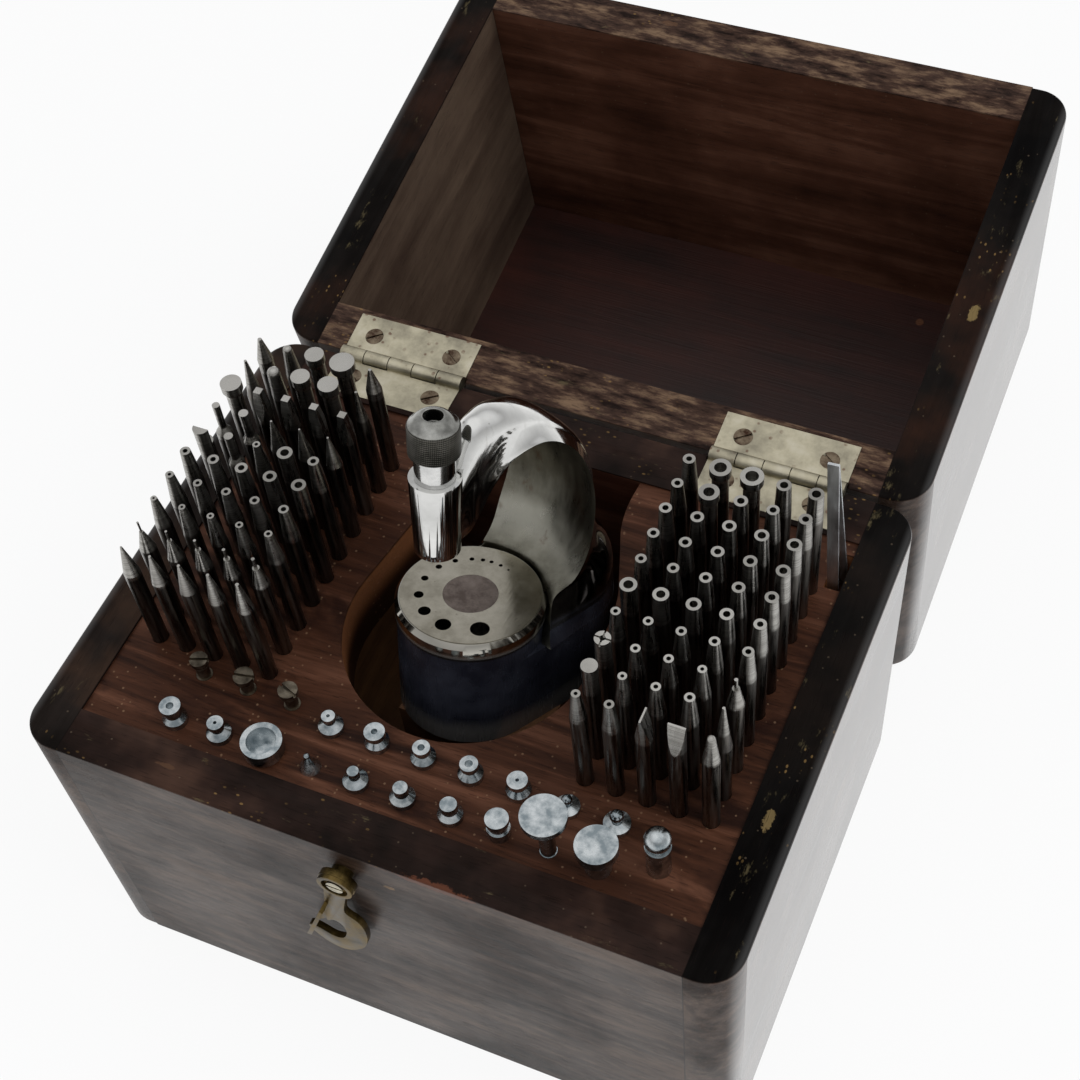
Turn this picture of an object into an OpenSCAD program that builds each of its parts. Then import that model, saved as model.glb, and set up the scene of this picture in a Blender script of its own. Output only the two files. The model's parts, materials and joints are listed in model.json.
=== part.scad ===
// Staking tool set: a hinged wooden box with a punch board, a staking tool, punches and stumps.
// Millimetres, +Z up, +Y to the hinged back. Origin: centre of the base's underside.

/* [Box] */
// Outside width of the box
box_w = 210; // [206:1:220]
// Outside depth of the box
box_d = 157.3; // [156:0.1:165]
// Height of the base up to its rim
box_h = 112.4; // [105:0.1:120]
// Height of the lid from its rim to its flat top
lid_h = 113.9; // [106:0.1:122]
// Side wall thickness
side_wall = 13.3; // [11.5:0.1:13.6]
// Front wall thickness
front_wall = 14.1; // [10:0.1:14.4]
// Back wall thickness
back_wall = 15.9; // [14.5:0.1:16.5]
// Radius of the upright outer corners
corner_r = 10.5; // [4:0.5:11]
// Thickness of the base's floor panel
floor_t = 9; // [6:0.5:12]
// Thickness of the lid's top panel
lid_top_t = 9; // [6:0.5:12]

/* [Punch board] */
// Board thickness
board_t = 22.5; // [22.1:0.1:26]
// How far the board lies below the rim
board_drop = 0.8; // [0:0.1:2]
// Radius of the round front of the well
well_r = 36.5; // [34.5:0.1:37]
// Half width of the well at the back wall
well_back_half = 25.6; // [23:0.1:30]
// Depth of the punch and stump holes
hole_depth = 21; // [15:0.5:21.5]
// Outer punch column, from the inside of the side wall
punch_edge = 8.5; // [7.5:0.1:9.5]
// Spacing of the punch columns
punch_pitch_x = 8.85; // [8:0.05:9.2]
// First punch row, from the inside of the front wall
punch_front = 29.55; // [29:0.05:30.5]
// Last punch row, from the inside of the back wall
punch_back = 19; // [17.5:0.1:22]
// Back row of stumps, from the inside of the front wall
stump_back = 19.55; // [18.6:0.05:20]
// Front row of stumps, from the inside of the front wall
stump_front = 6.55; // [6.3:0.05:7.5]
// First stump of a row, from the inside of the left wall
stump_left = 26.7; // [25.5:0.1:30]
// Last stump of a row, from the inside of the right wall
stump_right = 30.7; // [29.5:0.1:34]

/* [Punches and stumps] */
// Shank diameter of punches and stumps
shank_d = 4.7; // [4.5:0.05:4.8]
// Overall length of a punch
punch_l = 63.5; // [55:0.5:70]
// Radial clearance of a shank in the board
shank_gap = 0.08; // [0.02:0.01:0.1]
// Length of a ground punch tip
tip_l = 11; // [8:0.5:14]
// Height of a ring-topped stump above the board
stump_ring_h = 6.5; // [5:0.1:9]
// Radius of a ring-topped stump's shoulder
stump_shoulder_r = 3.5; // [3:0.1:4]

/* [Staking tool] */
// Backward lean of the tool in its well, degrees
lean = 12.94; // [10:0.01:14]
// Height of the die plate's centre above the rim
plate_up = 12; // [11:0.5:16]
// Radius of the die plate
plate_r = 19.74; // [19:0.02:19.8]
// Die plate thickness
plate_t = 6; // [5:0.5:8]
// Running clearance around the die plate
plate_gap = 0.06; // [0.03:0.01:0.1]
// Radius of the stud head in the middle of the plate
stud_head_r = 7.7; // [6.5:0.1:8]
// Pitch radius of the die holes
die_pitch_r = 14.3; // [13.8:0.1:14.6]
// Radius of the ring around the plate
ring_r = 21.1; // [20.8:0.1:21.3]
// Radius of the round base
base_r = 20.8; // [20.5:0.1:21]
// Depth of the base below the plate's top
base_h = 38; // [34:0.5:40]
// Radius of the punch guide's bore
guide_bore_r = 2.39; // [2.36:0.01:2.45]
// Outer radius of the guide sleeve
sleeve_r = 5.4; // [5:0.1:5.8]
// Radius of the boss at its top
boss_top_r = 6.95; // [6.7:0.05:7.3]
// Radius of the boss at its foot
boss_foot_r = 6.2; // [6:0.05:6.8]
// Radius of the knurled cap
cap_r = 6.8; // [6.3:0.1:7.2]
// Heading of the arm from the guide, degrees from +X
arm_heading = 70; // [66:0.5:74]

/* [Hinges and latch] */
// Length of a hinge leaf
leaf_l = 41.4; // [36:0.2:46]
// Width of a hinge leaf from the pin's axis
leaf_w = 15.2; // [12:0.1:15.4]
// Thickness of a hinge leaf
leaf_t = 1.2; // [1:0.1:1.6]
// Middle of a hinge, from the outside of the side wall
hinge_edge = 43.7; // [39:0.1:55]
// Radius of the hinge barrel
barrel_r = 2.4; // [2.1:0.1:2.6]
// How far the lid stands open, degrees from closed
lid_open = 171.17; // [150:0.01:171.4]
// Thickness of the latch hook
hook_t = 2; // [1.5:0.1:2.5]
// Radius of the latch's eye
eye_r = 5.4; // [5:0.1:6]

/* [Hidden] */
// Smoothness of curved surfaces
round_fn = 48;
small_fn = 24;
eps = 0.01;

// Box frame
rim_z = box_h;
half_w = box_w / 2;
half_d = box_d / 2;
in_x = half_w - side_wall;
in_front = -half_d + front_wall;
in_back = half_d - back_wall;
board_top = rim_z - board_drop;
board_z = board_top - board_t;
fit_gap = 0.05;
cut_over = 1;
bearer_w = 9;
bearer_h = 10;

// Hinges
hinge_x = half_w - hinge_edge;
axis_out = 0.95;
axis_up = 0.15;
axis_y = half_d + axis_out;
axis_z = rim_z + axis_up;
lid_rim_z = rim_z + 2 * axis_up;
pin_r = 1.25;
pin_gap = 0.05;
knuckles = 5;
knuckle_gap = 0.3;
knuckle_l = (leaf_l - (knuckles - 1) * knuckle_gap) / knuckles;
leaf_split = 0.05;
barrel_room = 0.35;
screw_inset_x = 13.4;
screw_inset_y = 8.2;
screw_head_r = 2.9;
screw_shank_r = 1.5;
screw_l = 13;
slot_w = 0.7;
slot_deep = 0.5;

// Well, placed from the inside of the front wall
well_x = -0.6;
well_in = 61.85;
well_y = in_front + well_in;

// Grid
cols = 5;
rows = 10;
punch_x = in_x - punch_edge - (cols - 1) * punch_pitch_x;
punch_y = in_front + punch_front;
punch_pitch_y = (in_back - punch_back - punch_y) / (rows - 1);
stumps_in_row = 10;
stump_x0 = -in_x + stump_left;
stump_pitch = (in_x - stump_right - stump_x0) / (stumps_in_row - 1);
stump_back_y = in_front + stump_back;
stump_front_y = in_front + stump_front;
early_stumps = 3;
early_stump_shift = 3.2;
shank_r = shank_d / 2;
hole_r = shank_r + shank_gap;
foot_z = board_top - hole_depth;
shank_l = punch_l - tip_l;
stump_foot_l = 16;
far_stump_right = 16.2;
far_stump_in = 12.05;
far_stump_x = in_x - far_stump_right;
far_stump_y = in_front + far_stump_in;
collar_h = 2;
flare_h = 1.6;
disc_t = 1.8;
slotted_stem_r = 1.9;
stump_slot_w = 0.8;
stump_slot_deep = 1.2;
drum_foot_h = 3.4;
drum_groove = 0.4;
cup_r = 5.8;
cup_bore_r = 4.2;
cup_h = 5.6;
cup_step = 1.1;
wide_disc_t = 3.5;
tall_disc_r = 6.2;
tall_disc_h = 19;
wide_disc_r = 5.7;
wide_disc_h = 12.8;
wide_disc_stem = 3.6;
tall_stem = 2.2;

// Tip lengths and the small steps of turned ends
sharp_tip_l = 18;
slim_tip_l = 16;
lean_tip_l = 14;
blunt_tip_l = 8;
pin_l = 4;
flat_cone_l = 2;
foot_bevel = 0.5;
disc_head_t = 2.6;
disc_cone_l = 1.5;
edge_t = 0.5;
end_slot_w = 0.5;
end_slot_deep = 1;

// Tool frame: X to the right, Y back along the plate, Z up along the guide
tool_x = -0.8;
tool_in = 65.95;
tool_y = in_front + tool_in;
guide_x = -2.25;
guide_y = -14.47;
ring_down = 1.7;
ring_h = 3.7;
base_top = -ring_down - ring_h;
shoulder_h = -11;
bulge_s = 40;
ring_room = 0.1;
arm_end_s = 5.5;
boss_z0 = 28;
boss_z1 = 51.6;
boss_bore_r = 4.2;
sleeve_z1 = 59.4;
spigot_r = 3.9;
spigot_z1 = 67;
cap_z0 = 59.5;
cap_z1 = 68;
cap_dome = 2.8;
cap_dome_r = 8;
cap_arris = 0.3;
cap_bore_r = spigot_r + fit_gap;
cap_mouth_more = 0.25;
sleeve_below = 1.5;
ring_edge = 0.3;
relief_more = 0.4;
knurl_n = 36;
cavity_r = 16;
cavity_top = -16;
stud_head_t = 3;
stud_r = 3;
nut_r = 9;
nut_t = 6;
stud_gap = 0.05;
seat_gap = 0.02;

// Arm stations from the base to the boss, distances along the heading and heights above the plate
rim_s = [22, 24, 29, 36, 40.3, 43.2, 43.3, 40.6, 35.6, 28.5, 20.2, 14.8, 10.8, 8, arm_end_s];
rim_h = [shoulder_h, base_top, 0, 3.4, 11, 21, 31, 41, 48.6, 52.3, 50.2, 43.6, 35.6, 31, 28.4];
ridge_s = [60.2, 59.9, 59.2, 57.0, 53.2, 52.2, 51.2, 47.6, 41.6, 33, 22, 15.4, 11.4, 8.6, arm_end_s];
ridge_h = [shoulder_h, base_top, 1, 6.5, 12.5, 21.5, 31, 40.8, 49, 57, 62.3, 63, 62, 57.5, 51.2];
rim_half = [18.6, 17.6, 14.6, 16.2, 16.9, 16.3, 15.6, 14.5, 12.6, 10.6, 8.3, 6.4, 5, 4.2, 2.7];
back_half = [19.4, 18.9, 17.8, 15.5, 11.8, 10.4, 10, 9.4, 8.4, 7.2, 6.4, 5.8, 5.3, 4.6, 3.9];
side_swell = [0, 0.6, 1.6, 1.4, 0.4, 0, 0, 0, 0, -0.2, -0.7, -1.3, -1.2, -0.4, 0];
face_dish = [0, 4, 6, 6, 5.6, 5, 4.4, 3.8, 3, 2.2, 1.2, 0.8, 0.4, 0.2, 0];
stations = len(rim_s);
steps = 4;
side_n = 5;
cap_n = 5;
face_n = 8;
back_from = 0.6;

// Outline of the box seen from above, with rounded corners
module box_outline() {
  square([box_w - 2 * corner_r, box_d], center = true);
  square([box_w, box_d - 2 * corner_r], center = true);
  for (sx = [-1, 1], sy = [-1, 1])
    translate([sx * (half_w - corner_r), sy * (half_d - corner_r)])
      circle(r = corner_r, $fn = round_fn);
}

// One wall: the part of the outline between four planes
module wall(z0, h, x0, x1, y0, y1) {
  translate([0, 0, z0])
    linear_extrude(h)
      intersection() {
        box_outline();
        translate([x0, y0]) square([x1 - x0, y1 - y0]);
      }
}

// Places children that are drawn with the lid closed onto the open lid
module opened() {
  translate([0, axis_y, axis_z])
    rotate([-lid_open, 0, 0])
      translate([0, -axis_y, -axis_z])
        children();
}

// Children once at each hinge
module at_hinges() {
  for (sx = [-1, 1]) translate([sx * hinge_x, axis_y, axis_z]) children();
}

// Lid half of a hinge seen from the base half: mirrored through the axis plane
module lid_side() {
  mirror([0, 0, 1]) children();
}

// Room let into a wall for a leaf and the barrel, with the four screw holes
module hinge_room() {
  translate([-leaf_l / 2, -leaf_w, -leaf_split - leaf_t])
    cube([leaf_l, leaf_w + axis_out + 1, leaf_t + 2]);
  rotate([0, 90, 0])
    cylinder(r = barrel_r + barrel_room, h = leaf_l + 1, center = true, $fn = round_fn);
  for (sx = [-1, 1])
    translate([sx * screw_inset_x, -screw_inset_y, -screw_l - leaf_t])
      cylinder(r = screw_shank_r + fit_gap, h = screw_l + leaf_t, $fn = small_fn);
}

module knuckle(i, r) {
  translate([-leaf_l / 2 + i * (knuckle_l + knuckle_gap), 0, 0])
    rotate([0, 90, 0])
      cylinder(r = r, h = knuckle_l, $fn = round_fn);
}

// Room for the other leaf's knuckle
module knuckle_room(i) {
  translate([-leaf_l / 2 + i * (knuckle_l + knuckle_gap) - knuckle_gap, 0, 0])
    rotate([0, 90, 0])
      cylinder(r = barrel_r + knuckle_gap, h = knuckle_l + 2 * knuckle_gap, $fn = round_fn);
}

// A leaf below the axis plane with its knuckles, first = 0 for the outer ones
module hinge_leaf(first) {
  difference() {
    union() {
      difference() {
        translate([-leaf_l / 2, -leaf_w, -leaf_split - leaf_t])
          cube([leaf_l, leaf_w - barrel_r / 2, leaf_t]);
        for (i = [1 - first : 2 : knuckles - 1]) knuckle_room(i);
      }
      for (i = [first : 2 : knuckles - 1]) knuckle(i, barrel_r);
    }
    rotate([0, 90, 0])
      cylinder(r = pin_r + pin_gap, h = leaf_l + 1, center = true, $fn = small_fn);
    for (sx = [-1, 1])
      translate([sx * screw_inset_x, -screw_inset_y, -leaf_split - leaf_t - eps])
        cylinder(r1 = screw_head_r - leaf_t + fit_gap, r2 = screw_head_r + fit_gap,
                 h = leaf_t + 2 * eps, $fn = small_fn);
  }
}

// Countersunk slotted screws of one leaf
module leaf_screws() {
  for (sx = [-1, 1])
    translate([sx * screw_inset_x, -screw_inset_y, -leaf_split])
      difference() {
        union() {
          translate([0, 0, -leaf_t])
            cylinder(r1 = screw_head_r - leaf_t, r2 = screw_head_r, h = leaf_t, $fn = small_fn);
          translate([0, 0, -leaf_t - screw_l + 1])
            cylinder(r = screw_shank_r, h = screw_l, $fn = small_fn);
        }
        rotate([0, 0, sx * 35])
          translate([-screw_head_r, -slot_w / 2, -slot_deep])
            cube([2 * screw_head_r, slot_w, slot_deep + 1]);
      }
}

module base_left_wall() {
  color([0.22, 0.17, 0.15]) wall(0, box_h, -half_w, -in_x, -half_d, half_d);
}

module base_right_wall() {
  color([0.22, 0.17, 0.15]) wall(0, box_h, in_x, half_w, -half_d, half_d);
}

module base_front_wall() {
  color([0.22, 0.17, 0.15])
    difference() {
      wall(0, box_h, -in_x, in_x, -half_d, in_front);
      latch_pin_hole(rim_z + latch_z);
    }
}

module base_back_wall() {
  color([0.22, 0.17, 0.15])
    difference() {
      wall(0, box_h, -in_x, in_x, in_back, half_d);
      at_hinges() hinge_room();
    }
}

module base_floor() {
  color([0.25, 0.15, 0.1])
    translate([-in_x, in_front, 0]) cube([2 * in_x, in_back - in_front, floor_t]);
}

// Lid walls, drawn closed and then opened
module lid_left_wall() {
  color([0.22, 0.17, 0.15])
    opened() wall(lid_rim_z, lid_h, -half_w, -in_x, -half_d, half_d);
}

module lid_right_wall() {
  color([0.22, 0.17, 0.15])
    opened() wall(lid_rim_z, lid_h, in_x, half_w, -half_d, half_d);
}

module lid_front_wall() {
  color([0.22, 0.17, 0.15])
    opened()
      difference() {
        wall(lid_rim_z, lid_h, -in_x, in_x, -half_d, in_front);
        translate([catch_x, -half_d - 1, rim_z + catch_up])
          rotate([-90, 0, 0])
            cylinder(r = catch_r + fit_gap, h = catch_in + 1, $fn = small_fn);
      }
}

module lid_back_wall() {
  color([0.22, 0.17, 0.15])
    opened()
      difference() {
        wall(lid_rim_z, lid_h, -in_x, in_x, in_back, half_d);
        at_hinges() lid_side() hinge_room();
      }
}

module lid_top_panel() {
  color([0.2, 0.12, 0.09])
    opened()
      translate([-in_x, in_front, lid_rim_z + lid_h - lid_top_t])
        cube([2 * in_x, in_back - in_front, lid_top_t]);
}

// Well outline: a round front and sides that taper to the back wall
well_dx = well_back_half;
well_dy = in_back + 1 - well_y;
well_reach = sqrt(well_dx * well_dx + well_dy * well_dy);
well_turn = atan2(well_dy, well_dx) - acos(well_r / well_reach);

// Right side of the well, as shares of its radius and of its depth behind the round front
well_side_x = [1, 0.997, 0.98, 0.953, 0.868, 0.797, 0.723, 0.69, 0.701];
well_side_y = [0, 0.06, 0.21, 0.364, 0.503, 0.612, 0.725, 0.853, 1];

module well_outline() {
  last = len(well_side_x) - 1;
  translate([well_x, well_y]) {
    circle(r = well_r, $fn = round_fn);
    polygon([
      [0, 0],
      for (k = [1 : last * steps])
        [well_r * curve(well_side_x, k / steps), well_dy * curve(well_side_y, k / steps)],
      [-well_dx, well_dy],
      [-well_r * cos(well_turn), well_r * sin(well_turn)]
    ]);
  }
}

function col_x(side, i) = side * (punch_x + punch_pitch_x * (side < 0 ? cols - 1 - i : i));
function row_y(row) = punch_y + punch_pitch_y * (row - 1);
function stump_x(i) = stump_x0 + stump_pitch * i;
function stump_y(i) = stump_back_y + (i < early_stumps ? early_stump_shift : 0);

module board_hole(x, y) {
  translate([x, y, foot_z]) cylinder(r = hole_r, h = hole_depth + 1, $fn = small_fn);
}

module punch_board() {
  color([0.33, 0.17, 0.11])
    difference() {
      translate([-in_x, in_front, board_z]) cube([2 * in_x, in_back - in_front, board_t]);
      translate([0, 0, board_z - 1]) linear_extrude(board_t + 2) well_outline();
      for (side = [-1, 1], row = [1 : rows], i = [0 : cols - 1])
        board_hole(col_x(side, i), row_y(row));
      for (i = [0 : stumps_in_row - 1]) {
        board_hole(stump_x(i), stump_y(i));
        board_hole(stump_x(i), stump_front_y);
      }
      board_hole(far_stump_x, far_stump_y);
      translate([in_x - strip_notch_w, strip_y - strip_notch_l / 2, board_top - strip_in])
        cube([strip_notch_w + 1, strip_notch_l, strip_in + 1]);
    }
}

module board_bearers() {
  color([0.4, 0.27, 0.17])
    for (sx = [-1, 1])
      translate([sx * (in_x - bearer_w / 2) - bearer_w / 2, in_front, board_z - bearer_h])
        cube([bearer_w, in_back - in_front, bearer_h]);
}

// Everything in the tool's own frame is placed and leaned here
module tool_pose() {
  translate([tool_x, tool_y, rim_z + plate_up])
    rotate([-lean, 0, 0])
      children();
}

// Seat on the box floor, its top cut to the tool's lean
seat_left = 16.2;
seat_right = 25.8;
seat_front = 23.4;
seat_rear = 25.6;
seat_x0 = tool_x - seat_left;
seat_x1 = tool_x + seat_right;
seat_y0 = tool_y - seat_front;
seat_y1 = tool_y + seat_rear;

module seat_block() {
  color([0.4, 0.27, 0.17])
    difference() {
      translate([seat_x0, seat_y0, floor_t])
        cube([seat_x1 - seat_x0, seat_y1 - seat_y0, rim_z]);
      tool_pose()
        translate([-2 * half_w, -2 * half_d, -base_h - seat_gap])
          cube([4 * half_w, 4 * half_d, 2 * rim_z]);
    }
}

module base_hinge_leaves() {
  color([0.72, 0.7, 0.62]) at_hinges() hinge_leaf(0);
}

module lid_hinge_leaves() {
  color([0.72, 0.7, 0.62]) opened() at_hinges() lid_side() hinge_leaf(1);
}

module hinge_pins() {
  color([0.6, 0.58, 0.52])
    at_hinges()
      rotate([0, 90, 0])
        cylinder(r = pin_r, h = leaf_l, center = true, $fn = small_fn);
}

module base_hinge_screws() {
  color([0.45, 0.33, 0.26]) at_hinges() leaf_screws();
}

module lid_hinge_screws() {
  color([0.45, 0.33, 0.26]) opened() at_hinges() lid_side() leaf_screws();
}

// Latch hook: hangs on its screw in front of the base
latch_x = -4.5;
latch_z = -11;
eye_rim_h = 1.2;
eye_rim_w = 1.5;
eye_rim_in = 0.2;
collar_t = 2.4;
collar_r = 3.2;
latch_screw_r = 1.8;
latch_head_r = 2.5;
latch_head_t = 1.1;
latch_screw_in = 10;
// Outline of the hook below its eye, from the right of the shank round to its left
hook_x = [3.4, 1.6, 0, -0.8, 0.4, 2.4, 3.8, 3.9, 2, -1.8, -5.5, -9.6, -13.4, -15.8, -14.2, -11,
          -8, -4.9, -3, -3, -4.4, -6.2, -7.6, -8.2, -7, -5.4, -4.4];
hook_y = [-3, -7, -13, -17.6, -19.6, -21.4, -25, -31.3, -38.2, -43.2, -45.6, -45.2, -42, -37.6, -35.8, -37,
          -38.6, -37.6, -33.4, -29, -26.8, -26.6, -28, -27, -18.7, -8.6, -3];
hook_steps = 3;
tab_t = 1.2;
tab_outline = [[-4, -14], [-12.6, -33], [-6.4, -26]];
lip_h = 3.5;
lip_outline = [[-5.4, -15.5], [-6.4, -15], [-14, -34.5], [-12.6, -34.4]];

// Catch pin in the lid's front, where the hook's mouth comes when it is swung up
mouth = [-5.9, -35];
catch_x = latch_x - mouth[0];
catch_up = latch_z - mouth[1];
catch_r = 1.6;
catch_in = 9;
catch_head_r = 2.6;
catch_head_t = 1.2;
catch_gap = 0.4;

module latch_pin_hole(z) {
  translate([latch_x, -half_d - 1, z])
    rotate([-90, 0, 0])
      cylinder(r = latch_screw_r + fit_gap, h = latch_screw_in + 1, $fn = small_fn);
}

// Places children drawn flat (x right, y up) in front of the base, d out from its face
module on_front(d) {
  translate([latch_x, -half_d - d, rim_z + latch_z])
    rotate([90, 0, 0])
      children();
}

module latch_hook() {
  color([0.56, 0.5, 0.34]) {
    on_front(collar_t)
      difference() {
        union() {
          linear_extrude(hook_t) {
            circle(r = eye_r, $fn = round_fn);
            polygon([
              [0, 0],
              for (k = [0 : (len(hook_x) - 1) * hook_steps])
                [curve(hook_x, k / hook_steps), curve(hook_y, k / hook_steps)]
            ]);
          }
          linear_extrude(tab_t) polygon(tab_outline);
          linear_extrude(hook_t + lip_h) polygon(lip_outline);
          translate([0, 0, hook_t / 2])
            cylinder(r = eye_r - eye_rim_in, h = hook_t / 2 + eye_rim_h, $fn = round_fn);
        }
        translate([0, 0, hook_t])
          cylinder(r = eye_r - eye_rim_w, h = eye_rim_h + 1, $fn = round_fn);
        translate([0, 0, -1])
          cylinder(r = latch_screw_r + fit_gap, h = hook_t + 3, $fn = small_fn);
      }
  }
}

module latch_collar() {
  color([0.5, 0.45, 0.32])
    on_front(0)
      difference() {
        cylinder(r = collar_r, h = collar_t - fit_gap, $fn = small_fn);
        translate([0, 0, -1])
          cylinder(r = latch_screw_r + fit_gap, h = collar_t + 2, $fn = small_fn);
      }
}

module latch_screw() {
  head_z = collar_t + hook_t + fit_gap;
  color([0.55, 0.53, 0.48])
    on_front(0)
      difference() {
        union() {
          translate([0, 0, -latch_screw_in])
            cylinder(r = latch_screw_r, h = latch_screw_in + head_z + eps, $fn = small_fn);
          translate([0, 0, head_z])
            cylinder(r = latch_head_r, h = latch_head_t, $fn = small_fn);
        }
        translate([-latch_head_r, -slot_w / 2, head_z + latch_head_t - slot_deep])
          cube([2 * latch_head_r, slot_w, slot_deep + 1]);
      }
}

module catch_pin() {
  shank_out = collar_t + hook_t + catch_gap;
  color([0.56, 0.5, 0.34])
    opened()
      translate([catch_x, -half_d, rim_z + catch_up])
        rotate([90, 0, 0]) {
          translate([0, 0, -catch_in])
            cylinder(r = catch_r, h = catch_in + shank_out, $fn = small_fn);
          translate([0, 0, shank_out])
            cylinder(r = catch_head_r, h = catch_head_t, $fn = small_fn);
        }
}

// Folded steel strip standing in a notch of the board
strip_from_back = 10.75;
strip_y = in_back - strip_from_back;
strip_w = 3.2;
strip_t = 0.8;
strip_top = 45;
strip_spread = 4.2;
strip_fold = 2.4;
strip_lean_x = 4.5;
strip_in = 12;
strip_wall_gap = 0.6;
strip_notch_w = 5;
strip_notch_l = 13;

module folded_strip() {
  foot = rim_z - strip_in + 1;
  apex = rim_z + strip_top;
  tall = apex - foot;
  lean_turn = atan2(strip_lean_x, tall);
  color([0.6, 0.62, 0.64])
    translate([in_x - strip_w - strip_lean_x - strip_wall_gap, strip_y, apex])
      rotate([0, -lean_turn, 0])
        rotate([90, 0, 90])
          linear_extrude(strip_w)
            polygon([
              [strip_t / 2, 0], [strip_spread + strip_t, -tall], [strip_spread, -tall],
              [0, -strip_fold],
              [-strip_spread, -tall], [-strip_spread - strip_t, -tall], [-strip_t / 2, 0]
            ]);
}

// Tool: arm shape
function at(list, i) = list[min(max(i, 0), len(list) - 1)];

// Smooth curve through a list of stations
function curve(list, x) =
  let (i = min(floor(x), len(list) - 2), t = x - i,
       a = at(list, i - 1), b = at(list, i), c = at(list, i + 1), d = at(list, i + 2))
  b + 0.5 * t * (c - a + t * (2 * a - 5 * b + 4 * c - d + t * (3 * b - a - 3 * c + d)));

// Plate centre seen along the arm's heading and to the right of it
plate_s = -guide_x * cos(arm_heading) - guide_y * sin(arm_heading);
plate_off = -guide_x * sin(arm_heading) + guide_y * cos(arm_heading);

// Nearest distance along the heading that clears the ring around the plate
function clear_s(off) =
  plate_s + sqrt(max(0, pow(ring_r + ring_room, 2) - pow(off - plate_off, 2)));

// Point of the arm: distance s along the heading, off to the right of it, h above the plate
function arm_point(s, off, h) =
  let (run = h < 2 ? max(s, clear_s(off)) : s)
  [
    guide_x + run * cos(arm_heading) + off * sin(arm_heading),
    guide_y + run * sin(arm_heading) - off * cos(arm_heading),
    h
  ];

// Half width of a section, u = 0 at the rim and 1 at the back ridge
function side_width(u, hw, bw, swell) =
  u < back_from
    ? hw + (bw - hw) * u / back_from + swell * sin(180 * u / back_from)
    : bw * sqrt(max(0, 1 - pow((u - back_from) / (1 - back_from), 2)));

// One section as a closed list of [share of depth, offset], inner face last
function section(hw, bw, swell, dish, depth) =
  let (side = concat([for (i = [0 : side_n - 1]) i / side_n * back_from],
                     [for (i = [0 : cap_n - 1]) back_from + (1 - back_from) * sin(90 * i / cap_n)]))
  concat(
    [for (u = side) [u, side_width(u, hw, bw, swell)]],
    [[1, 0]],
    [for (i = [len(side) - 1 : -1 : 0]) [side[i], -side_width(side[i], hw, bw, swell)]],
    [for (i = [1 : face_n - 1])
      let (f = -1 + 2 * i / face_n) [dish * (1 - f * f) / depth, f * hw]]
  );

function ring_points(x) =
  let (rs = curve(rim_s, x), rh = curve(rim_h, x), gs = curve(ridge_s, x), gh = curve(ridge_h, x),
       depth = norm([gs - rs, gh - rh]))
  [for (p = section(curve(rim_half, x), curve(back_half, x), curve(side_swell, x),
                    curve(face_dish, x), depth))
    arm_point(rs + (gs - rs) * p[0], p[1], rh + (gh - rh) * p[0])];

function middle(ring) = [for (i = [0 : 2]) sum([for (p = ring) p[i]]) / len(ring)];
function sum(v, i = 0) = i < len(v) ? v[i] + sum(v, i + 1) : 0;

module arm() {
  count = 2 * (side_n + cap_n) + face_n;
  last = (stations - 1) * steps;
  rings = [for (k = [0 : last]) ring_points(k / steps)];
  points = concat([for (ring = rings) each ring], [middle(rings[0]), middle(rings[last])]);
  foot_mid = (last + 1) * count;
  skin = [for (k = [0 : last - 1], j = [0 : count - 1])
    let (a = k * count + j, b = k * count + (j + 1) % count)
    each [[a, b, b + count], [a, b + count, a + count]]];
  ends = [for (j = [0 : count - 1])
    let (n = (j + 1) % count)
    each [[n, j, foot_mid], [last * count + j, last * count + n, foot_mid + 1]]];
  polyhedron(points = points, faces = concat(skin, ends), convexity = 8);
}

// Outline of the base: the round front and the bulge that carries the arm
module base_outline() {
  c = [guide_x + bulge_s * cos(arm_heading), guide_y + bulge_s * sin(arm_heading)];
  turn = atan2(c[1], c[0]);
  circle(r = base_r, $fn = round_fn);
  translate(c) circle(r = base_r, $fn = round_fn);
  rotate(turn) translate([0, -base_r]) square([norm(c), 2 * base_r]);
}

// Lower part of the casting: base, bulge and the ring around the plate
module casting_base() {
  color([0.62, 0.62, 0.6])
    tool_pose()
      difference() {
        union() {
          translate([0, 0, -base_h]) linear_extrude(base_h + shoulder_h) base_outline();
          translate([0, 0, -base_h]) cylinder(r = base_r, h = base_h + base_top, $fn = round_fn);
          translate([0, 0, base_top]) cylinder(r = ring_r, h = ring_h, $fn = round_fn);
          translate([0, 0, -ring_down])
            cylinder(r1 = ring_r, r2 = plate_r + ring_edge, h = ring_down - 0.2, $fn = round_fn);
        }
        translate([0, 0, -plate_t - fit_gap])
          cylinder(r = plate_r + plate_gap, h = plate_t + 1, $fn = round_fn);
        translate([0, 0, -base_h - 1])
          cylinder(r = cavity_r, h = base_h + 1 + cavity_top, $fn = round_fn);
        translate([0, 0, -base_h]) cylinder(r = stud_r + stud_gap, h = base_h, $fn = small_fn);
        translate([guide_x, guide_y, -base_h])
          cylinder(r = guide_bore_r + relief_more, h = base_h, $fn = small_fn);
      }
}

// Arm of the casting, from the base's top to the flat on the boss
module casting_arm() {
  color([0.62, 0.62, 0.6]) tool_pose() arm();
}

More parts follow.
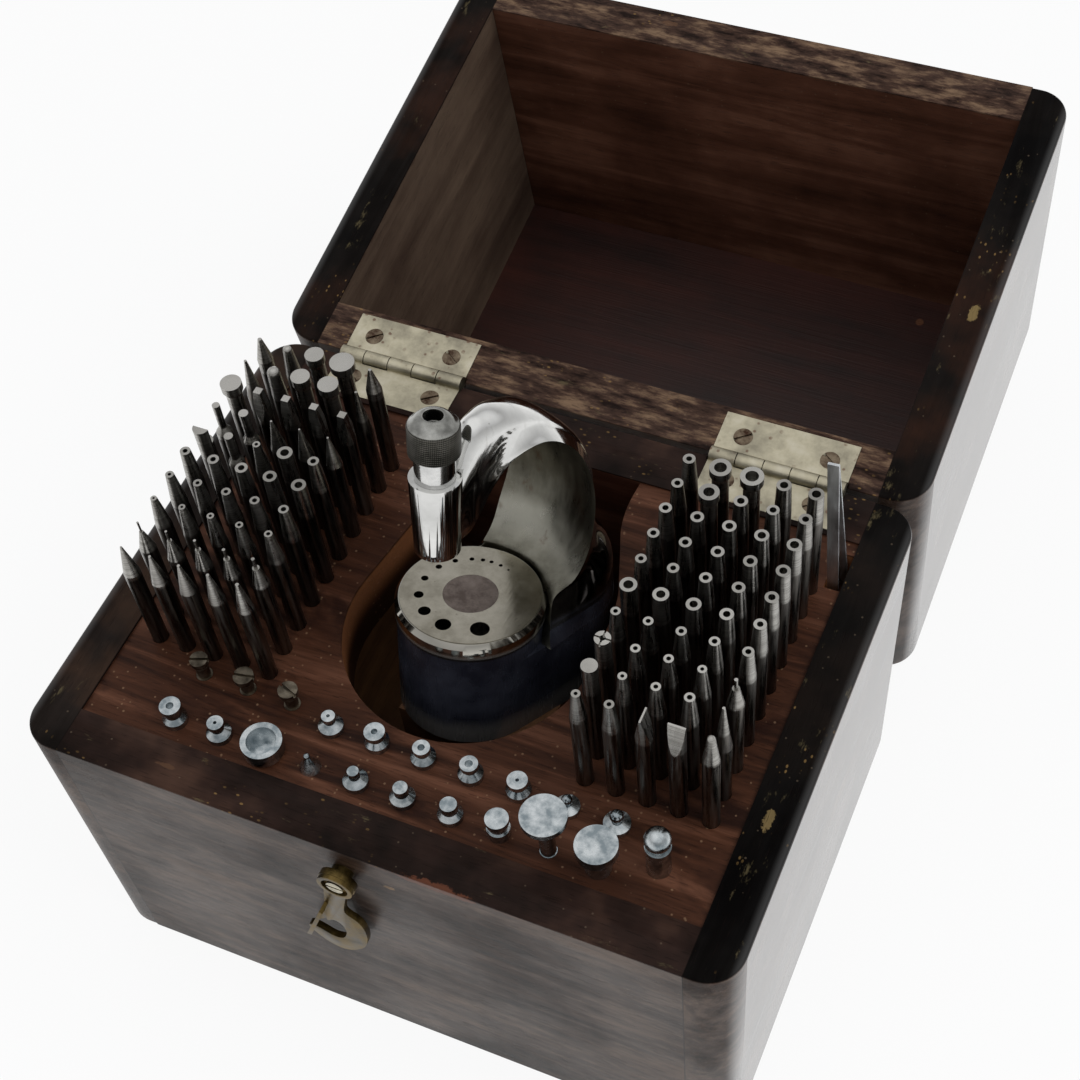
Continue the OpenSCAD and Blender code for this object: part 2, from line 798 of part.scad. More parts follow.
// Guide boss of the casting, with a flat where the arm joins it
module casting_boss() {
  color([0.62, 0.62, 0.6])
    tool_pose()
      translate([guide_x, guide_y, 0])
        difference() {
          translate([0, 0, boss_z0])
            cylinder(r1 = boss_foot_r, r2 = boss_top_r, h = boss_z1 - boss_z0, $fn = round_fn);
          translate([0, 0, boss_z0 - 1])
            cylinder(r = boss_bore_r, h = boss_z1 - boss_z0 + 2, $fn = small_fn);
          rotate([0, 0, arm_heading])
            translate([arm_end_s, -boss_top_r, boss_z0 - 1])
              cube([boss_top_r, 2 * boss_top_r, boss_z1]);
        }
}

// Die plate: the twelve holes grow around the plate, the rest of the circle is blank
die_angles = [67.3, 78.8, 90.8, 101, 113.6, 132.6, 153.6, 178.1, 205.9, 233.3, 263.7, 305.3];
die_sizes = [0.7, 1.1, 1.2, 1.3, 1.4, 1.6, 1.85, 2.1, 2.75, 3.5, 4.5, 5.4];

module die_plate() {
  color([0.71, 0.69, 0.64])
    tool_pose()
      difference() {
        translate([0, 0, -plate_t]) cylinder(r = plate_r, h = plate_t, $fn = round_fn);
        translate([0, 0, -stud_head_t])
          cylinder(r = stud_head_r + stud_gap, h = stud_head_t + 1, $fn = round_fn);
        translate([0, 0, -plate_t - 1])
          cylinder(r = stud_r + stud_gap, h = plate_t + 2, $fn = small_fn);
        for (k = [0 : len(die_angles) - 1])
          translate([die_pitch_r * cos(die_angles[k]), die_pitch_r * sin(die_angles[k]),
                     -plate_t - 1])
            cylinder(d = die_sizes[k], h = plate_t + 2, $fn = small_fn);
      }
}

module plate_stud() {
  color([0.43, 0.39, 0.37])
    tool_pose() {
      translate([0, 0, -stud_head_t + fit_gap])
        cylinder(r = stud_head_r, h = stud_head_t - fit_gap, $fn = round_fn);
      translate([0, 0, cavity_top - nut_t - 2])
        cylinder(r = stud_r, h = -cavity_top + nut_t + 2 - stud_head_t / 2, $fn = small_fn);
    }
}

module clamp_nut() {
  color([0.5, 0.5, 0.48])
    tool_pose()
      translate([0, 0, cavity_top - nut_t - fit_gap])
        difference() {
          knurled(nut_r, nut_t);
          translate([0, 0, -1]) cylinder(r = stud_r + stud_gap, h = nut_t + 2, $fn = small_fn);
        }
}

// Drum with straight knurling
module knurled(r, h) {
  difference() {
    cylinder(r = r, h = h, $fn = round_fn);
    for (k = [0 : knurl_n - 1])
      rotate([0, 0, k * 360 / knurl_n])
        translate([r + 0.1, 0, -1])
          rotate([0, 0, 45]) cube([0.5, 0.5, 2 * h + 4], center = true);
  }
}

module guide_sleeve() {
  color([0.66, 0.66, 0.64])
    tool_pose()
      translate([guide_x, guide_y, 0])
        difference() {
          union() {
            translate([0, 0, boss_z0 - sleeve_below])
              cylinder(r = boss_bore_r - fit_gap, h = boss_z1 - boss_z0 + sleeve_below + eps + fit_gap,
                       $fn = small_fn);
            translate([0, 0, boss_z1 + fit_gap])
              cylinder(r = sleeve_r, h = sleeve_z1 - boss_z1 - fit_gap, $fn = round_fn);
            translate([0, 0, sleeve_z1 - eps])
              cylinder(r = spigot_r, h = spigot_z1 - sleeve_z1, $fn = small_fn);
          }
          translate([0, 0, boss_z0 - 3])
            cylinder(r = guide_bore_r, h = 2 * spigot_z1, $fn = small_fn);
        }
}

module knurled_cap() {
  dome_foot_r = cap_r - cap_arris;
  dome_down = sqrt(cap_dome_r * cap_dome_r - dome_foot_r * dome_foot_r);
  color([0.4, 0.4, 0.38])
    tool_pose()
      translate([guide_x, guide_y, cap_z0])
        difference() {
          union() {
            knurled(cap_r, cap_z1 - cap_z0);
            intersection() {
              translate([0, 0, cap_z1 - cap_z0 - dome_down]) sphere(r = cap_dome_r, $fn = round_fn);
              translate([0, 0, cap_z1 - cap_z0 - cut_over])
                cylinder(r = dome_foot_r, h = cap_dome + cut_over, $fn = round_fn);
            }
          }
          translate([0, 0, -1])
            cylinder(r = cap_bore_r, h = spigot_z1 - cap_z0 + 1.2, $fn = small_fn);
          translate([0, 0, 1])
            cylinder(r = guide_bore_r + cap_mouth_more, h = 2 * spigot_z1, $fn = small_fn);
        }
}

// Punches: a plain shank with a ground tip, foot at the bottom of its hole
module shank(l) {
  cylinder(r1 = shank_r - foot_bevel, r2 = shank_r, h = foot_bevel, $fn = small_fn);
  translate([0, 0, foot_bevel]) cylinder(r = shank_r, h = l - foot_bevel, $fn = small_fn);
}

// Solid point of end radius r
module point_punch(r, l = tip_l) {
  shank(punch_l - l);
  translate([0, 0, punch_l - l]) cylinder(r1 = shank_r, r2 = r, h = l, $fn = small_fn);
}

// Short taper that carries a fine parallel pin of radius r
module pin_punch(r) {
  shank(shank_l);
  translate([0, 0, shank_l])
    cylinder(r1 = shank_r, r2 = 2 * r, h = tip_l - pin_l, $fn = small_fn);
  translate([0, 0, punch_l - pin_l]) cylinder(r = r, h = pin_l, $fn = small_fn);
}

// Tapered tip with a drilled end, r outside and b the drill
module hollow_punch(r, b) {
  difference() {
    point_punch(r);
    translate([0, 0, punch_l - tip_l / 2]) cylinder(r = b, h = tip_l, $fn = small_fn);
  }
}

// Drilled end cut by two slots
module slotted_punch(r, b) {
  difference() {
    hollow_punch(r, b);
    for (a = [0, 90])
      rotate([0, 0, a])
        translate([-r - 1, -end_slot_w / 2, punch_l - end_slot_deep])
          cube([2 * r + 2, end_slot_w, end_slot_deep + 1]);
  }
}

// Turned-down parallel end of radius r
module flat_punch(r) {
  shank(shank_l);
  translate([0, 0, shank_l]) cylinder(r1 = shank_r, r2 = r, h = flat_cone_l, $fn = small_fn);
  translate([0, 0, shank_l + flat_cone_l]) cylinder(r = r, h = tip_l - flat_cone_l, $fn = small_fn);
}

// Ball-ended punch of radius r
module round_punch(r) {
  shank(shank_l);
  translate([0, 0, shank_l])
    cylinder(r1 = shank_r, r2 = r, h = tip_l - r, $fn = small_fn);
  translate([0, 0, punch_l - r]) sphere(r = r, $fn = small_fn);
}

// Flat disc head of radius r on the shank
module disc_punch(r) {
  neck_l = punch_l - disc_head_t - disc_cone_l;
  shank(neck_l);
  translate([0, 0, neck_l]) cylinder(r1 = shank_r, r2 = r, h = disc_cone_l, $fn = small_fn);
  translate([0, 0, punch_l - disc_head_t]) cylinder(r = r, h = disc_head_t, $fn = small_fn);
}

// Two flats ground to an edge
module chisel_punch() {
  difference() {
    shank(punch_l);
    for (sx = [-1, 1])
      translate([sx * edge_t / 2, 0, punch_l])
        rotate([0, -sx * atan((shank_r - edge_t / 2) / tip_l), 0])
          translate([sx * shank_r, 0, 0])
            cube([2 * shank_r, 3 * shank_r, 2.4 * tip_l], center = true);
  }
}

// Four flats ground to a blunt square
module square_punch(r) {
  fall = atan((shank_r - r) / tip_l);
  difference() {
    shank(punch_l);
    for (a = [0, 90, 180, 270])
      rotate([0, 0, a])
        translate([r, 0, punch_l])
          rotate([0, -fall, 0])
            translate([shank_r, 0, 0])
              cube([2 * shank_r, 3 * shank_r, 2.4 * tip_l], center = true);
  }
}

// Half of the end cut away
module half_punch() {
  difference() {
    shank(punch_l);
    translate([-shank_r - 1, 0, punch_l - tip_l / 2])
      cube([2 * shank_r + 2, shank_r + 1, tip_l]);
  }
}

// Places one child per column of a row, $slot counts them from 0
module punch_row(side, row) {
  color([0.5, 0.49, 0.47])
    for (i = [0 : cols - 1])
      let ($slot = i)
        translate([col_x(side, i), row_y(row), foot_z])
          children(min(i, $children - 1));
}

module left_row_1() { punch_row(-1, 1) point_punch(0.3 + 0.05 * $slot); }
module left_row_2() { punch_row(-1, 2) pin_punch(0.3 + 0.05 * $slot); }
module left_row_3() { punch_row(-1, 3) hollow_punch(0.9 + 0.06 * $slot, 0.35 + 0.05 * $slot); }
module left_row_4() { punch_row(-1, 4) hollow_punch(1.2 + 0.06 * $slot, 0.5 + 0.06 * $slot); }
module left_row_5() { punch_row(-1, 5) hollow_punch(1.5 + 0.14 * $slot, 0.7 + 0.1 * $slot); }
module left_row_6() {
  punch_row(-1, 6) {
    half_punch();
    flat_punch(1.3);
    hollow_punch(1.1, 0.5);
    hollow_punch(2.2, 1.2);
    hollow_punch(1.6, 0.8);
  }
}
module left_row_7() {
  punch_row(-1, 7) {
    flat_punch(1.1);
    flat_punch(1.4);
    point_punch(0.3);
  }
}
module left_row_8() {
  punch_row(-1, 8) {
    disc_punch(3.1);
    square_punch(1.1);
  }
}
module left_row_9() {
  punch_row(-1, 9) {
    point_punch(0.4, lean_tip_l);
    round_punch(1.9);
    disc_punch(2.8);
    disc_punch(3);
    point_punch(0.4, slim_tip_l);
  }
}
module left_row_10() {
  punch_row(-1, 10) {
    point_punch(0.6, blunt_tip_l);
    round_punch(1.4);
    disc_punch(2.8);
    disc_punch(3.6);
    point_punch(0.5, blunt_tip_l);
  }
}
module right_row_1() {
  punch_row(1, 1) {
    hollow_punch(1.2, 0.5);
    hollow_punch(1.3, 0.6);
    chisel_punch();
    rotate([0, 0, 90]) chisel_punch();
    round_punch(1.1);
  }
}
module right_row_2() {
  punch_row(1, 2) {
    flat_punch(2.2);
    hollow_punch(1.2, 0.5);
    hollow_punch(1.3, 0.6);
    hollow_punch(1.4, 0.7);
    point_punch(0.4, sharp_tip_l);
  }
}
module right_row_3() {
  punch_row(1, 3) {
    slotted_punch(2.2, 0.8);
    hollow_punch(1.3, 0.6);
    hollow_punch(1.3, 0.6);
    hollow_punch(1.2, 0.5);
    pin_punch(0.5);
  }
}
module right_row_4() { punch_row(1, 4) hollow_punch(1.3 + 0.05 * $slot, 0.6 + 0.04 * $slot); }
module right_row_5() { punch_row(1, 5) hollow_punch(2.3 - 0.15 * $slot, 1.3 - 0.12 * $slot); }
module right_row_6() { punch_row(1, 6) hollow_punch(1.5 + 0.08 * $slot, 0.7 + 0.06 * $slot); }
module right_row_7() { punch_row(1, 7) hollow_punch(1.6 + 0.08 * $slot, 0.8 + 0.06 * $slot); }
module right_row_8() { punch_row(1, 8) hollow_punch(1.7 + 0.08 * $slot, 0.85 + 0.08 * $slot); }
module right_row_9() {
  punch_row(1, 9) {
    hollow_punch(1.6, 0.8);
    ring_punch(2.8, 1.5);
    hollow_punch(1.9, 1);
    hollow_punch(1.7, 0.9);
    hollow_punch(1.8, 0.9);
  }
}
module right_row_10() {
  punch_row(1, 10) {
    hollow_punch(1.7, 0.8);
    ring_punch(3, 1.7);
    ring_punch(3.2, 1.8);
    hollow_punch(2, 1.1);
    hollow_punch(2.1, 1.2);
  }
}

// Head larger than the shank, drilled
module ring_punch(r, b) {
  difference() {
    disc_punch(r);
    translate([0, 0, punch_l - tip_l / 2]) cylinder(r = b, h = tip_l, $fn = small_fn);
  }
}

// Stumps: a short shank in the board and a turned head above it
module stump_shank() {
  translate([0, 0, -stump_foot_l])
    cylinder(r = shank_r, h = stump_foot_l + eps, $fn = small_fn);
}

// Ring top of radius r and drill b on a round shoulder
module ring_stump(r, b, h = stump_ring_h) {
  stump_shank();
  difference() {
    union() {
      cylinder(r = stump_shoulder_r, h = collar_h, $fn = small_fn);
      translate([0, 0, collar_h])
        cylinder(r1 = stump_shoulder_r, r2 = r * 0.8 - eps, h = flare_h, $fn = small_fn);
      cylinder(r = r * 0.8, h = h - 1, $fn = small_fn);
      translate([0, 0, h - 1.8]) cylinder(r = r, h = 1.8, $fn = small_fn);
    }
    translate([0, 0, h - 2]) cylinder(r = b, h = 3, $fn = small_fn);
  }
}

// Flat disc of radius r and thickness t at height h on a stem
module disc_stump(r, h, stem, t = disc_t) {
  stump_shank();
  cylinder(r = stem, h = h - 1, $fn = small_fn);
  translate([0, 0, h - t - flare_h]) cylinder(r1 = stem, r2 = r, h = flare_h, $fn = small_fn);
  translate([0, 0, h - t]) cylinder(r = r, h = t, $fn = small_fn);
}

// Disc with a screwdriver slot turned by a
module slotted_stump(r, h, a) {
  difference() {
    disc_stump(r, h, slotted_stem_r);
    rotate([0, 0, a])
      translate([-r - 1, -stump_slot_w / 2, h - stump_slot_deep])
        cube([2 * r + 2, stump_slot_w, stump_slot_deep + 1]);
  }
}

// Parallel peg of radius r on the round shoulder
module peg_stump(r, h = stump_ring_h) {
  stump_shank();
  cylinder(r = stump_shoulder_r, h = collar_h, $fn = small_fn);
  translate([0, 0, collar_h])
    cylinder(r1 = stump_shoulder_r, r2 = r - eps, h = flare_h, $fn = small_fn);
  cylinder(r = r, h = h, $fn = small_fn);
}

// Drum of radius r with a groove below its top
module drum_stump(r, h) {
  stump_shank();
  cylinder(r = r, h = drum_foot_h, $fn = small_fn);
  cylinder(r = r - drum_groove, h = h - 1, $fn = small_fn);
  translate([0, 0, h - disc_t]) cylinder(r = r, h = disc_t, $fn = small_fn);
}

// Ball of radius r on a disc
module ball_stump(r, disc, h) {
  stump_shank();
  cylinder(r = disc, h = 1.8, $fn = small_fn);
  translate([0, 0, 1.8]) cylinder(r1 = disc, r2 = r * 0.8, h = 1, $fn = small_fn);
  cylinder(r = r * 0.6, h = h - r, $fn = small_fn);
  translate([0, 0, h - r]) sphere(r = r, $fn = small_fn);
}

// Cone that ends in a small ball of radius r
module cone_stump(r, foot, h) {
  stump_shank();
  cylinder(r1 = foot, r2 = r * 0.8, h = h - 1.6 * r, $fn = small_fn);
  translate([0, 0, h - r]) sphere(r = r, $fn = small_fn);
}

// Wide cup of radius r and bore b on a smaller foot
module cup_stump(r, b, h) {
  stump_shank();
  difference() {
    union() {
      cylinder(r = r - cup_step, h = h - 1, $fn = round_fn);
      translate([0, 0, cup_step]) cylinder(r = r, h = h - cup_step, $fn = round_fn);
    }
    translate([0, 0, cup_step]) cylinder(r = b, h = h, $fn = round_fn);
  }
}

module stump_row(front) {
  color([0.68, 0.69, 0.7])
    for (i = [0 : stumps_in_row - 1])
      translate([stump_x(i), front ? stump_front_y : stump_y(i), board_top])
        children(i);
}

module stumps_back_row() {
  stump_row(false) {
    slotted_stump(2.6, 7.6, 20);
    slotted_stump(2.9, 6.8, 10);
    slotted_stump(2.8, 7.2, -20);
    ring_stump(1.9, 0.5);
    ring_stump(2.9, 0.9);
    ring_stump(2.4, 1);
    ring_stump(2.5, 1.1);
    ring_stump(2.8, 0.5);
    ball_stump(1.5, 3.4, 6.4);
    ball_stump(1.9, 3.7, 7);
  }
}

module stumps_front_row() {
  stump_row(true) {
    ring_stump(3, 1.1, 7.6);
    ring_stump(2.3, 0.5, 6.8);
    cup_stump(cup_r, cup_bore_r, cup_h);
    cone_stump(0.9, 3, 6.6);
    peg_stump(1.6);
    peg_stump(2);
    peg_stump(2.3);
    drum_stump(3.2, 8);
    disc_stump(tall_disc_r, tall_disc_h, tall_stem);
    disc_stump(wide_disc_r, wide_disc_h, wide_disc_stem, wide_disc_t);
  }
}

module stump_domed() {
  dome_r = 3.6;
  dome_h = 19;
  collar_z = 10.5;
  color([0.68, 0.69, 0.7])
    translate([far_stump_x, far_stump_y, board_top]) {
      stump_shank();
      cylinder(r = 3.3, h = collar_z, $fn = small_fn);
      translate([0, 0, collar_z]) cylinder(r = 3.5, h = 1.6, $fn = small_fn);
      cylinder(r = 2.4, h = dome_h - dome_r, $fn = small_fn);
      translate([0, 0, dome_h - dome_r]) sphere(r = dome_r, $fn = small_fn);
    }
}

base_left_wall();
base_right_wall();
base_front_wall();
base_back_wall();
base_floor();
punch_board();
board_bearers();
seat_block();
lid_left_wall();
lid_right_wall();
lid_front_wall();
lid_back_wall();
lid_top_panel();
base_hinge_leaves();
lid_hinge_leaves();
hinge_pins();
base_hinge_screws();
lid_hinge_screws();
latch_hook();
latch_collar();
latch_screw();
catch_pin();
folded_strip();
casting_base();
casting_arm();
casting_boss();
die_plate();
plate_stud();
clamp_nut();
guide_sleeve();
knurled_cap();
left_row_1();
left_row_2();
left_row_3();
left_row_4();
left_row_5();
left_row_6();
left_row_7();
left_row_8();
left_row_9();
left_row_10();
right_row_1();
right_row_2();
right_row_3();
right_row_4();
right_row_5();
right_row_6();
right_row_7();
right_row_8();
right_row_9();
right_row_10();
stumps_back_row();
stumps_front_row();
stump_domed();
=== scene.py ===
"""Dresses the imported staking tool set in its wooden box: camera, light, wood, metal and wear."""

import json
import math

import bmesh
import bpy
from mathutils import Matrix, Vector

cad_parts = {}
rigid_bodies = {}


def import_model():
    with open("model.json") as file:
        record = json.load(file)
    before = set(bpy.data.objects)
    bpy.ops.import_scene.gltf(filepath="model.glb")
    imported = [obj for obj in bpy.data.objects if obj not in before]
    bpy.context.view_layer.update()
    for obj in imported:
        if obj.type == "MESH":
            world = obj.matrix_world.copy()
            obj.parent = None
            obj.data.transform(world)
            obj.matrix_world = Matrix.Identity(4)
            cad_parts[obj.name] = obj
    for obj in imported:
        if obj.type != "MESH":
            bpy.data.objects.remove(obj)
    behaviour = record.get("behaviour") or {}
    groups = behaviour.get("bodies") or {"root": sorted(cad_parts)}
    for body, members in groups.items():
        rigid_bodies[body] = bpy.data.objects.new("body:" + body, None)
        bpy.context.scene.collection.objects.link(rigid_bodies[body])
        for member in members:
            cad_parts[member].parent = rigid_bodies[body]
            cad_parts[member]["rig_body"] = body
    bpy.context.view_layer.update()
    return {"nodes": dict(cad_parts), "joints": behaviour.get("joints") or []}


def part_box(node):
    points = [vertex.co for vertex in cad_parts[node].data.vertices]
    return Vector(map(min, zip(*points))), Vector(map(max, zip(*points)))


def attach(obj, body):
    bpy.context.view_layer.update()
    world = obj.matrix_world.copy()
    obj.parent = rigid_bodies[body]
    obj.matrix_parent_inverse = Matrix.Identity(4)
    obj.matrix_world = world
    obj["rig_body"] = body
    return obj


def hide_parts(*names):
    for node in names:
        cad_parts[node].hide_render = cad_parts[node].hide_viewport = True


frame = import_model()
NODES = frame["nodes"]
JOINTS = {joint["name"]: joint for joint in frame["joints"]}
MM = 0.001

# Sizes read from the frame
HALF_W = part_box("base_right_wall")[1].x
IN_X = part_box("base_right_wall")[0].x
IN_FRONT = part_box("base_front_wall")[1].y
IN_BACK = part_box("base_back_wall")[0].y
BOARD_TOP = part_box("punch_board")[1].z
PUNCH_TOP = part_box("left_row_1")[1].z
HINGE = Vector(JOINTS["lid_hinge"]["pos_m"])
LID_OPEN = math.radians(JOINTS["lid_hinge"]["range_deg"][1])
TOOL_AXIS = Vector(JOINTS["die_turn"]["axis"])
PLATE = Vector(JOINTS["die_turn"]["pos_m"])
GUIDE = Vector(JOINTS["cap_turn"]["pos_m"])
LEAN = math.atan2(TOOL_AXIS.y, TOOL_AXIS.z)
TO_TOOL = Matrix.Rotation(LEAN, 3, "X")
GUIDE_IN_TOOL = (TO_TOOL @ (GUIDE - PLATE)) / MM

# Arm of the casting: stations from its foot to the boss, in mm along its heading and above the plate
HEADING = math.radians(70)
RIM_S = (22, 24, 29, 36, 40.3, 43.2, 43.3, 40.6, 35.6, 28.5, 20.2, 14.8, 10.8, 8, 5.5)
RIM_H = (-11, -5.4, 0, 3.4, 11, 21, 31, 41, 48.6, 52.3, 50.2, 43.6, 35.6, 31, 28.4)
BACK_S = (60.7, 60.2, 59.2, 57, 53.2, 52.2, 51.2, 47.6, 41.6, 33, 22, 15.4, 11.4, 8.6, 5.5)
BACK_H = (-11, -5.4, 1, 6.5, 12.5, 21.5, 31, 40.8, 49, 57, 62.3, 63, 62, 57.5, 51.2)
RIM_HALF = (20.6, 18.4, 15, 16.2, 16.9, 16.3, 15.6, 14.5, 12.6, 10.6, 8.3, 6.4, 5, 4.2, 2.7)
BACK_HALF = (20.7, 19.6, 18, 15.5, 11.8, 10.4, 10, 9.4, 8.4, 7.2, 6.4, 5.8, 5.3, 4.6, 3.9)
DISH = (0, 4, 6, 6, 5.6, 5, 4.4, 3.8, 3, 2.2, 1.2, 0.8, 0.4, 0.2, 0)
# Where the round back starts, where the bead lies and how deep the pocket above it is
ROUND_FROM = (0.47, 0.5, 0.56, 0.6, 0.6, 0.6, 0.6, 0.6, 0.6, 0.6, 0.6, 0.6, 0.62, 0.66, 0.7)
BEAD_AT = (0.02, 0.02, 0.02, 0.02, 0.02, 0.02, 0.02, 0.02, 0.02, 0.02, 0.04, 0.13, 0.32, 0.46, 0.55)
BEAD_OUT = (0, 0, 0, 0, 0, 0, 0, 0, 0, 0.04, 0.08, 0.12, 0.15, 0.15, 0.1)
POCKET = (0, -0.6, -1.2, -1, -0.3, 0, 0, 0, 0, 0, 0.03, 0.06, 0.06, 0.04, 0)
RING_CLEAR = 21.2
# Steps between two stations, along the section's bead and its side, and across the throat
STATION_STEPS = 6
BEAD_STEPS = 4
SIDE_STEPS = 18
THROAT_STEPS = 12

# Cap: its profile as radius and height in mm, and its foot above the plate
CAP_PROFILE = (
    (4, 0), (6.5, 0), (6.8, 0.3), (6.8, 8.1), (6.65, 8.45), (6.3, 8.7), (5.85, 9.1), (5.35, 9.75),
    (4.8, 10.4), (4.1, 10.9), (3.4, 11.2), (2.9, 11.3), (2.64, 11.1), (2.64, 6),
)
CAP_FOOT = 59.5
CAP_STEPS = 96

# Faces above this area, in square metres, are flat walls and are never shaded smooth
FLAT_FROM = 0.0005

# Worn marks on the rims: place and radii in mm, and colour
BASE_MARKS = (
    ((24, -78.6, 111.5), (12, 1.6, 1.6), "6b4130"),
    ((9, -78.6, 101), (1.8, 1.5, 1), "84694a"),
    ((97, -30, 112.4), (1.3, 4, 2), "8d7850"),
    ((-60, -72, 112.4), (3, 0.7, 2), "58402f"),
)
LID_MARKS = (
    ((99, 10, 113.4), (1.6, 3.5, 3), "8f7a50"),
    ((-30, -74, 113.4), (3, 1.2, 3), "604634"),
)
# Cells a metre, set so that each punch has its own
PUNCH_CELLS = (113.0, 114.3, 0.0)
# Share of the back stump row that holds the slotted heads
SLOTTED_SHARE = 0.29
# Pale room that metal mirrors, from the horizon to overhead
SKY = ((0.0, "f2f2f2"), (0.28, "d4d4d4"), (0.48, "c2c2c2"), (0.68, "e6e6e7"), (0.84, "ffffff"))

# Camera, fitted to the photograph's box corners
AZIMUTH = math.radians(29.88)
ELEVATION = math.radians(56.28)
ROLL = math.radians(-7.96)
TARGET = Vector((20.8, -2.5, 112.4)) * MM
DISTANCE = 506.5 * MM
LENS_MM = 60.89
SHIFT_Y = 0.103


def linear(code):
    """An sRGB hex colour as linear RGBA."""
    parts = [int(code[i : i + 2], 16) / 255 for i in (0, 2, 4)]
    return tuple(c / 12.92 if c <= 0.04045 else ((c + 0.055) / 1.055) ** 2.4 for c in parts) + (1,)


def add(tree, kind, inputs=(), **settings):
    """A node with its settings and its inputs, each a value or another node's output."""
    node = tree.nodes.new(kind)
    for name, value in settings.items():
        setattr(node, name, value)
    for key, value in dict(inputs).items():
        if isinstance(value, bpy.types.NodeSocket):
            tree.links.new(value, node.inputs[key])
        else:
            node.inputs[key].default_value = value
    return node


def maths(tree, operation, a, b=0.0, clamp=False):
    node = add(tree, "ShaderNodeMath", {0: a, 1: b}, operation=operation, use_clamp=clamp)
    return node.outputs[0]


def times(tree, a, b):
    return maths(tree, "MULTIPLY", a, b)


def plus(tree, a, b):
    return maths(tree, "ADD", a, b)


def minus(tree, a, b):
    return maths(tree, "SUBTRACT", a, b)


def blended(tree, a, b, share):
    """Share of a and the rest of b."""
    return plus(tree, times(tree, a, share), times(tree, b, 1 - share))


def from_axis(tree, x, y):
    return maths(tree, "SQRT", plus(tree, times(tree, x, x), times(tree, y, y)))


def spread(tree, value, source, target):
    """A value's span from source stretched onto target, and held inside it."""
    inputs = {"Value": value, "From Min": source[0], "From Max": source[1]}
    inputs.update({"To Min": target[0], "To Max": target[1]})
    return add(tree, "ShaderNodeMapRange", inputs, clamp=True).outputs["Result"]


def ramp(tree, value, low, high):
    """0 below low, 1 above high and smooth between, or the other way round where low is the larger."""
    inputs = {"Value": value, "From Min": low, "From Max": high}
    node = add(tree, "ShaderNodeMapRange", inputs, interpolation_type="SMOOTHSTEP", clamp=True)
    return node.outputs["Result"]


def noise(tree, vector, scale, detail=3.0, roughness=0.55, distortion=0.0):
    inputs = {"Vector": vector, "Scale": scale, "Detail": detail}
    inputs.update({"Roughness": roughness, "Distortion": distortion})
    return add(tree, "ShaderNodeTexNoise", inputs).outputs["Fac"]


def mapped(tree, vector, scale=(1, 1, 1), location=(0, 0, 0), rotation=(0, 0, 0)):
    inputs = {"Vector": vector, "Location": location, "Rotation": rotation, "Scale": scale}
    return add(tree, "ShaderNodeMapping", inputs).outputs["Vector"]


def mix(tree, factor, a, b, blend="MIX"):
    """Colour a turning into colour b as factor goes from 0 to 1."""
    node = add(tree, "ShaderNodeMix", {0: factor, 6: a, 7: b}, data_type="RGBA", blend_type=blend)
    return node.outputs[2]


def stain(tree, colour, mask, strength, code):
    """The colour with a hex colour over it where the mask is, at a strength from 0 to 1."""
    return mix(tree, times(tree, mask, strength), colour, linear(code))


def tones(tree, value, *stops):
    """A colour ramp of (place, hex) stops."""
    node = add(tree, "ShaderNodeValToRGB", {0: value})
    elements = node.color_ramp.elements
    while len(elements) < len(stops):
        elements.new(0.5)
    for element, (place, code) in zip(elements, stops):
        element.position = place
        element.color = linear(code)
    return node.outputs[0]


def specks(tree, vector, scale, size, share):
    """Scattered spots: 1 inside a spot, over about that share of the cells."""
    cells = add(tree, "ShaderNodeTexVoronoi", {"Vector": vector, "Scale": scale, "Randomness": 1.0})
    spot = ramp(tree, cells.outputs["Distance"], size, size * 0.6)
    pick = add(tree, "ShaderNodeSeparateColor", {0: cells.outputs["Color"]}).outputs[0]
    return times(tree, spot, maths(tree, "LESS_THAN", pick, share))


def patch(tree, coords, middle_mm, radii_mm, rag=0.5):
    """1 inside a ragged oval patch round a place, 0 outside it."""
    scale = tuple(1 / (radius * MM) for radius in radii_mm)
    moved = mapped(tree, coords, scale, tuple(-m / r for m, r in zip(middle_mm, radii_mm)))
    far = add(tree, "ShaderNodeVectorMath", {0: moved}, operation="LENGTH").outputs["Value"]
    ragged = times(tree, noise(tree, coords, 420.0, 4.0, 0.7), 2 * rag)
    return ramp(tree, plus(tree, far, minus(tree, ragged, rag)), 1.05, 0.8)


def new_material(name):
    material = bpy.data.materials.new(name)
    material.use_nodes = True
    material.node_tree.nodes.clear()
    return material, material.node_tree


def finish_material(tree, colour, roughness, height=None, bump_mm=0.1, **inputs):
    """Puts the surface on the output, with bump from a height socket."""
    wanted = {"Base Color": colour, "Roughness": roughness}
    wanted.update({key.replace("_", " "): value for key, value in inputs.items()})
    if height is not None:
        bump = add(tree, "ShaderNodeBump", {"Height": height, "Distance": bump_mm * MM, "Strength": 1.0})
        wanted["Normal"] = bump.outputs["Normal"]
    surface = add(tree, "ShaderNodeBsdfPrincipled", wanted)
    add(tree, "ShaderNodeOutputMaterial", {"Surface": surface.outputs[0]})


def object_coords(tree):
    return add(tree, "ShaderNodeTexCoord").outputs["Object"]


def box_coords(tree, on_lid):
    """Object coordinates, turned back onto the closed box for the pieces of the lid."""
    coords = object_coords(tree)
    if not on_lid:
        return coords
    back = Matrix.Rotation(LID_OPEN, 3, "X")
    return mapped(tree, coords, location=tuple(HINGE - back @ HINGE), rotation=(LID_OPEN, 0, 0))


def split(tree, vector):
    node = add(tree, "ShaderNodeSeparateXYZ", {0: vector})
    return node.outputs[0], node.outputs[1], node.outputs[2]


def grain_scale(axis, along, across):
    return tuple(along if axis == i else across for i in range(3))


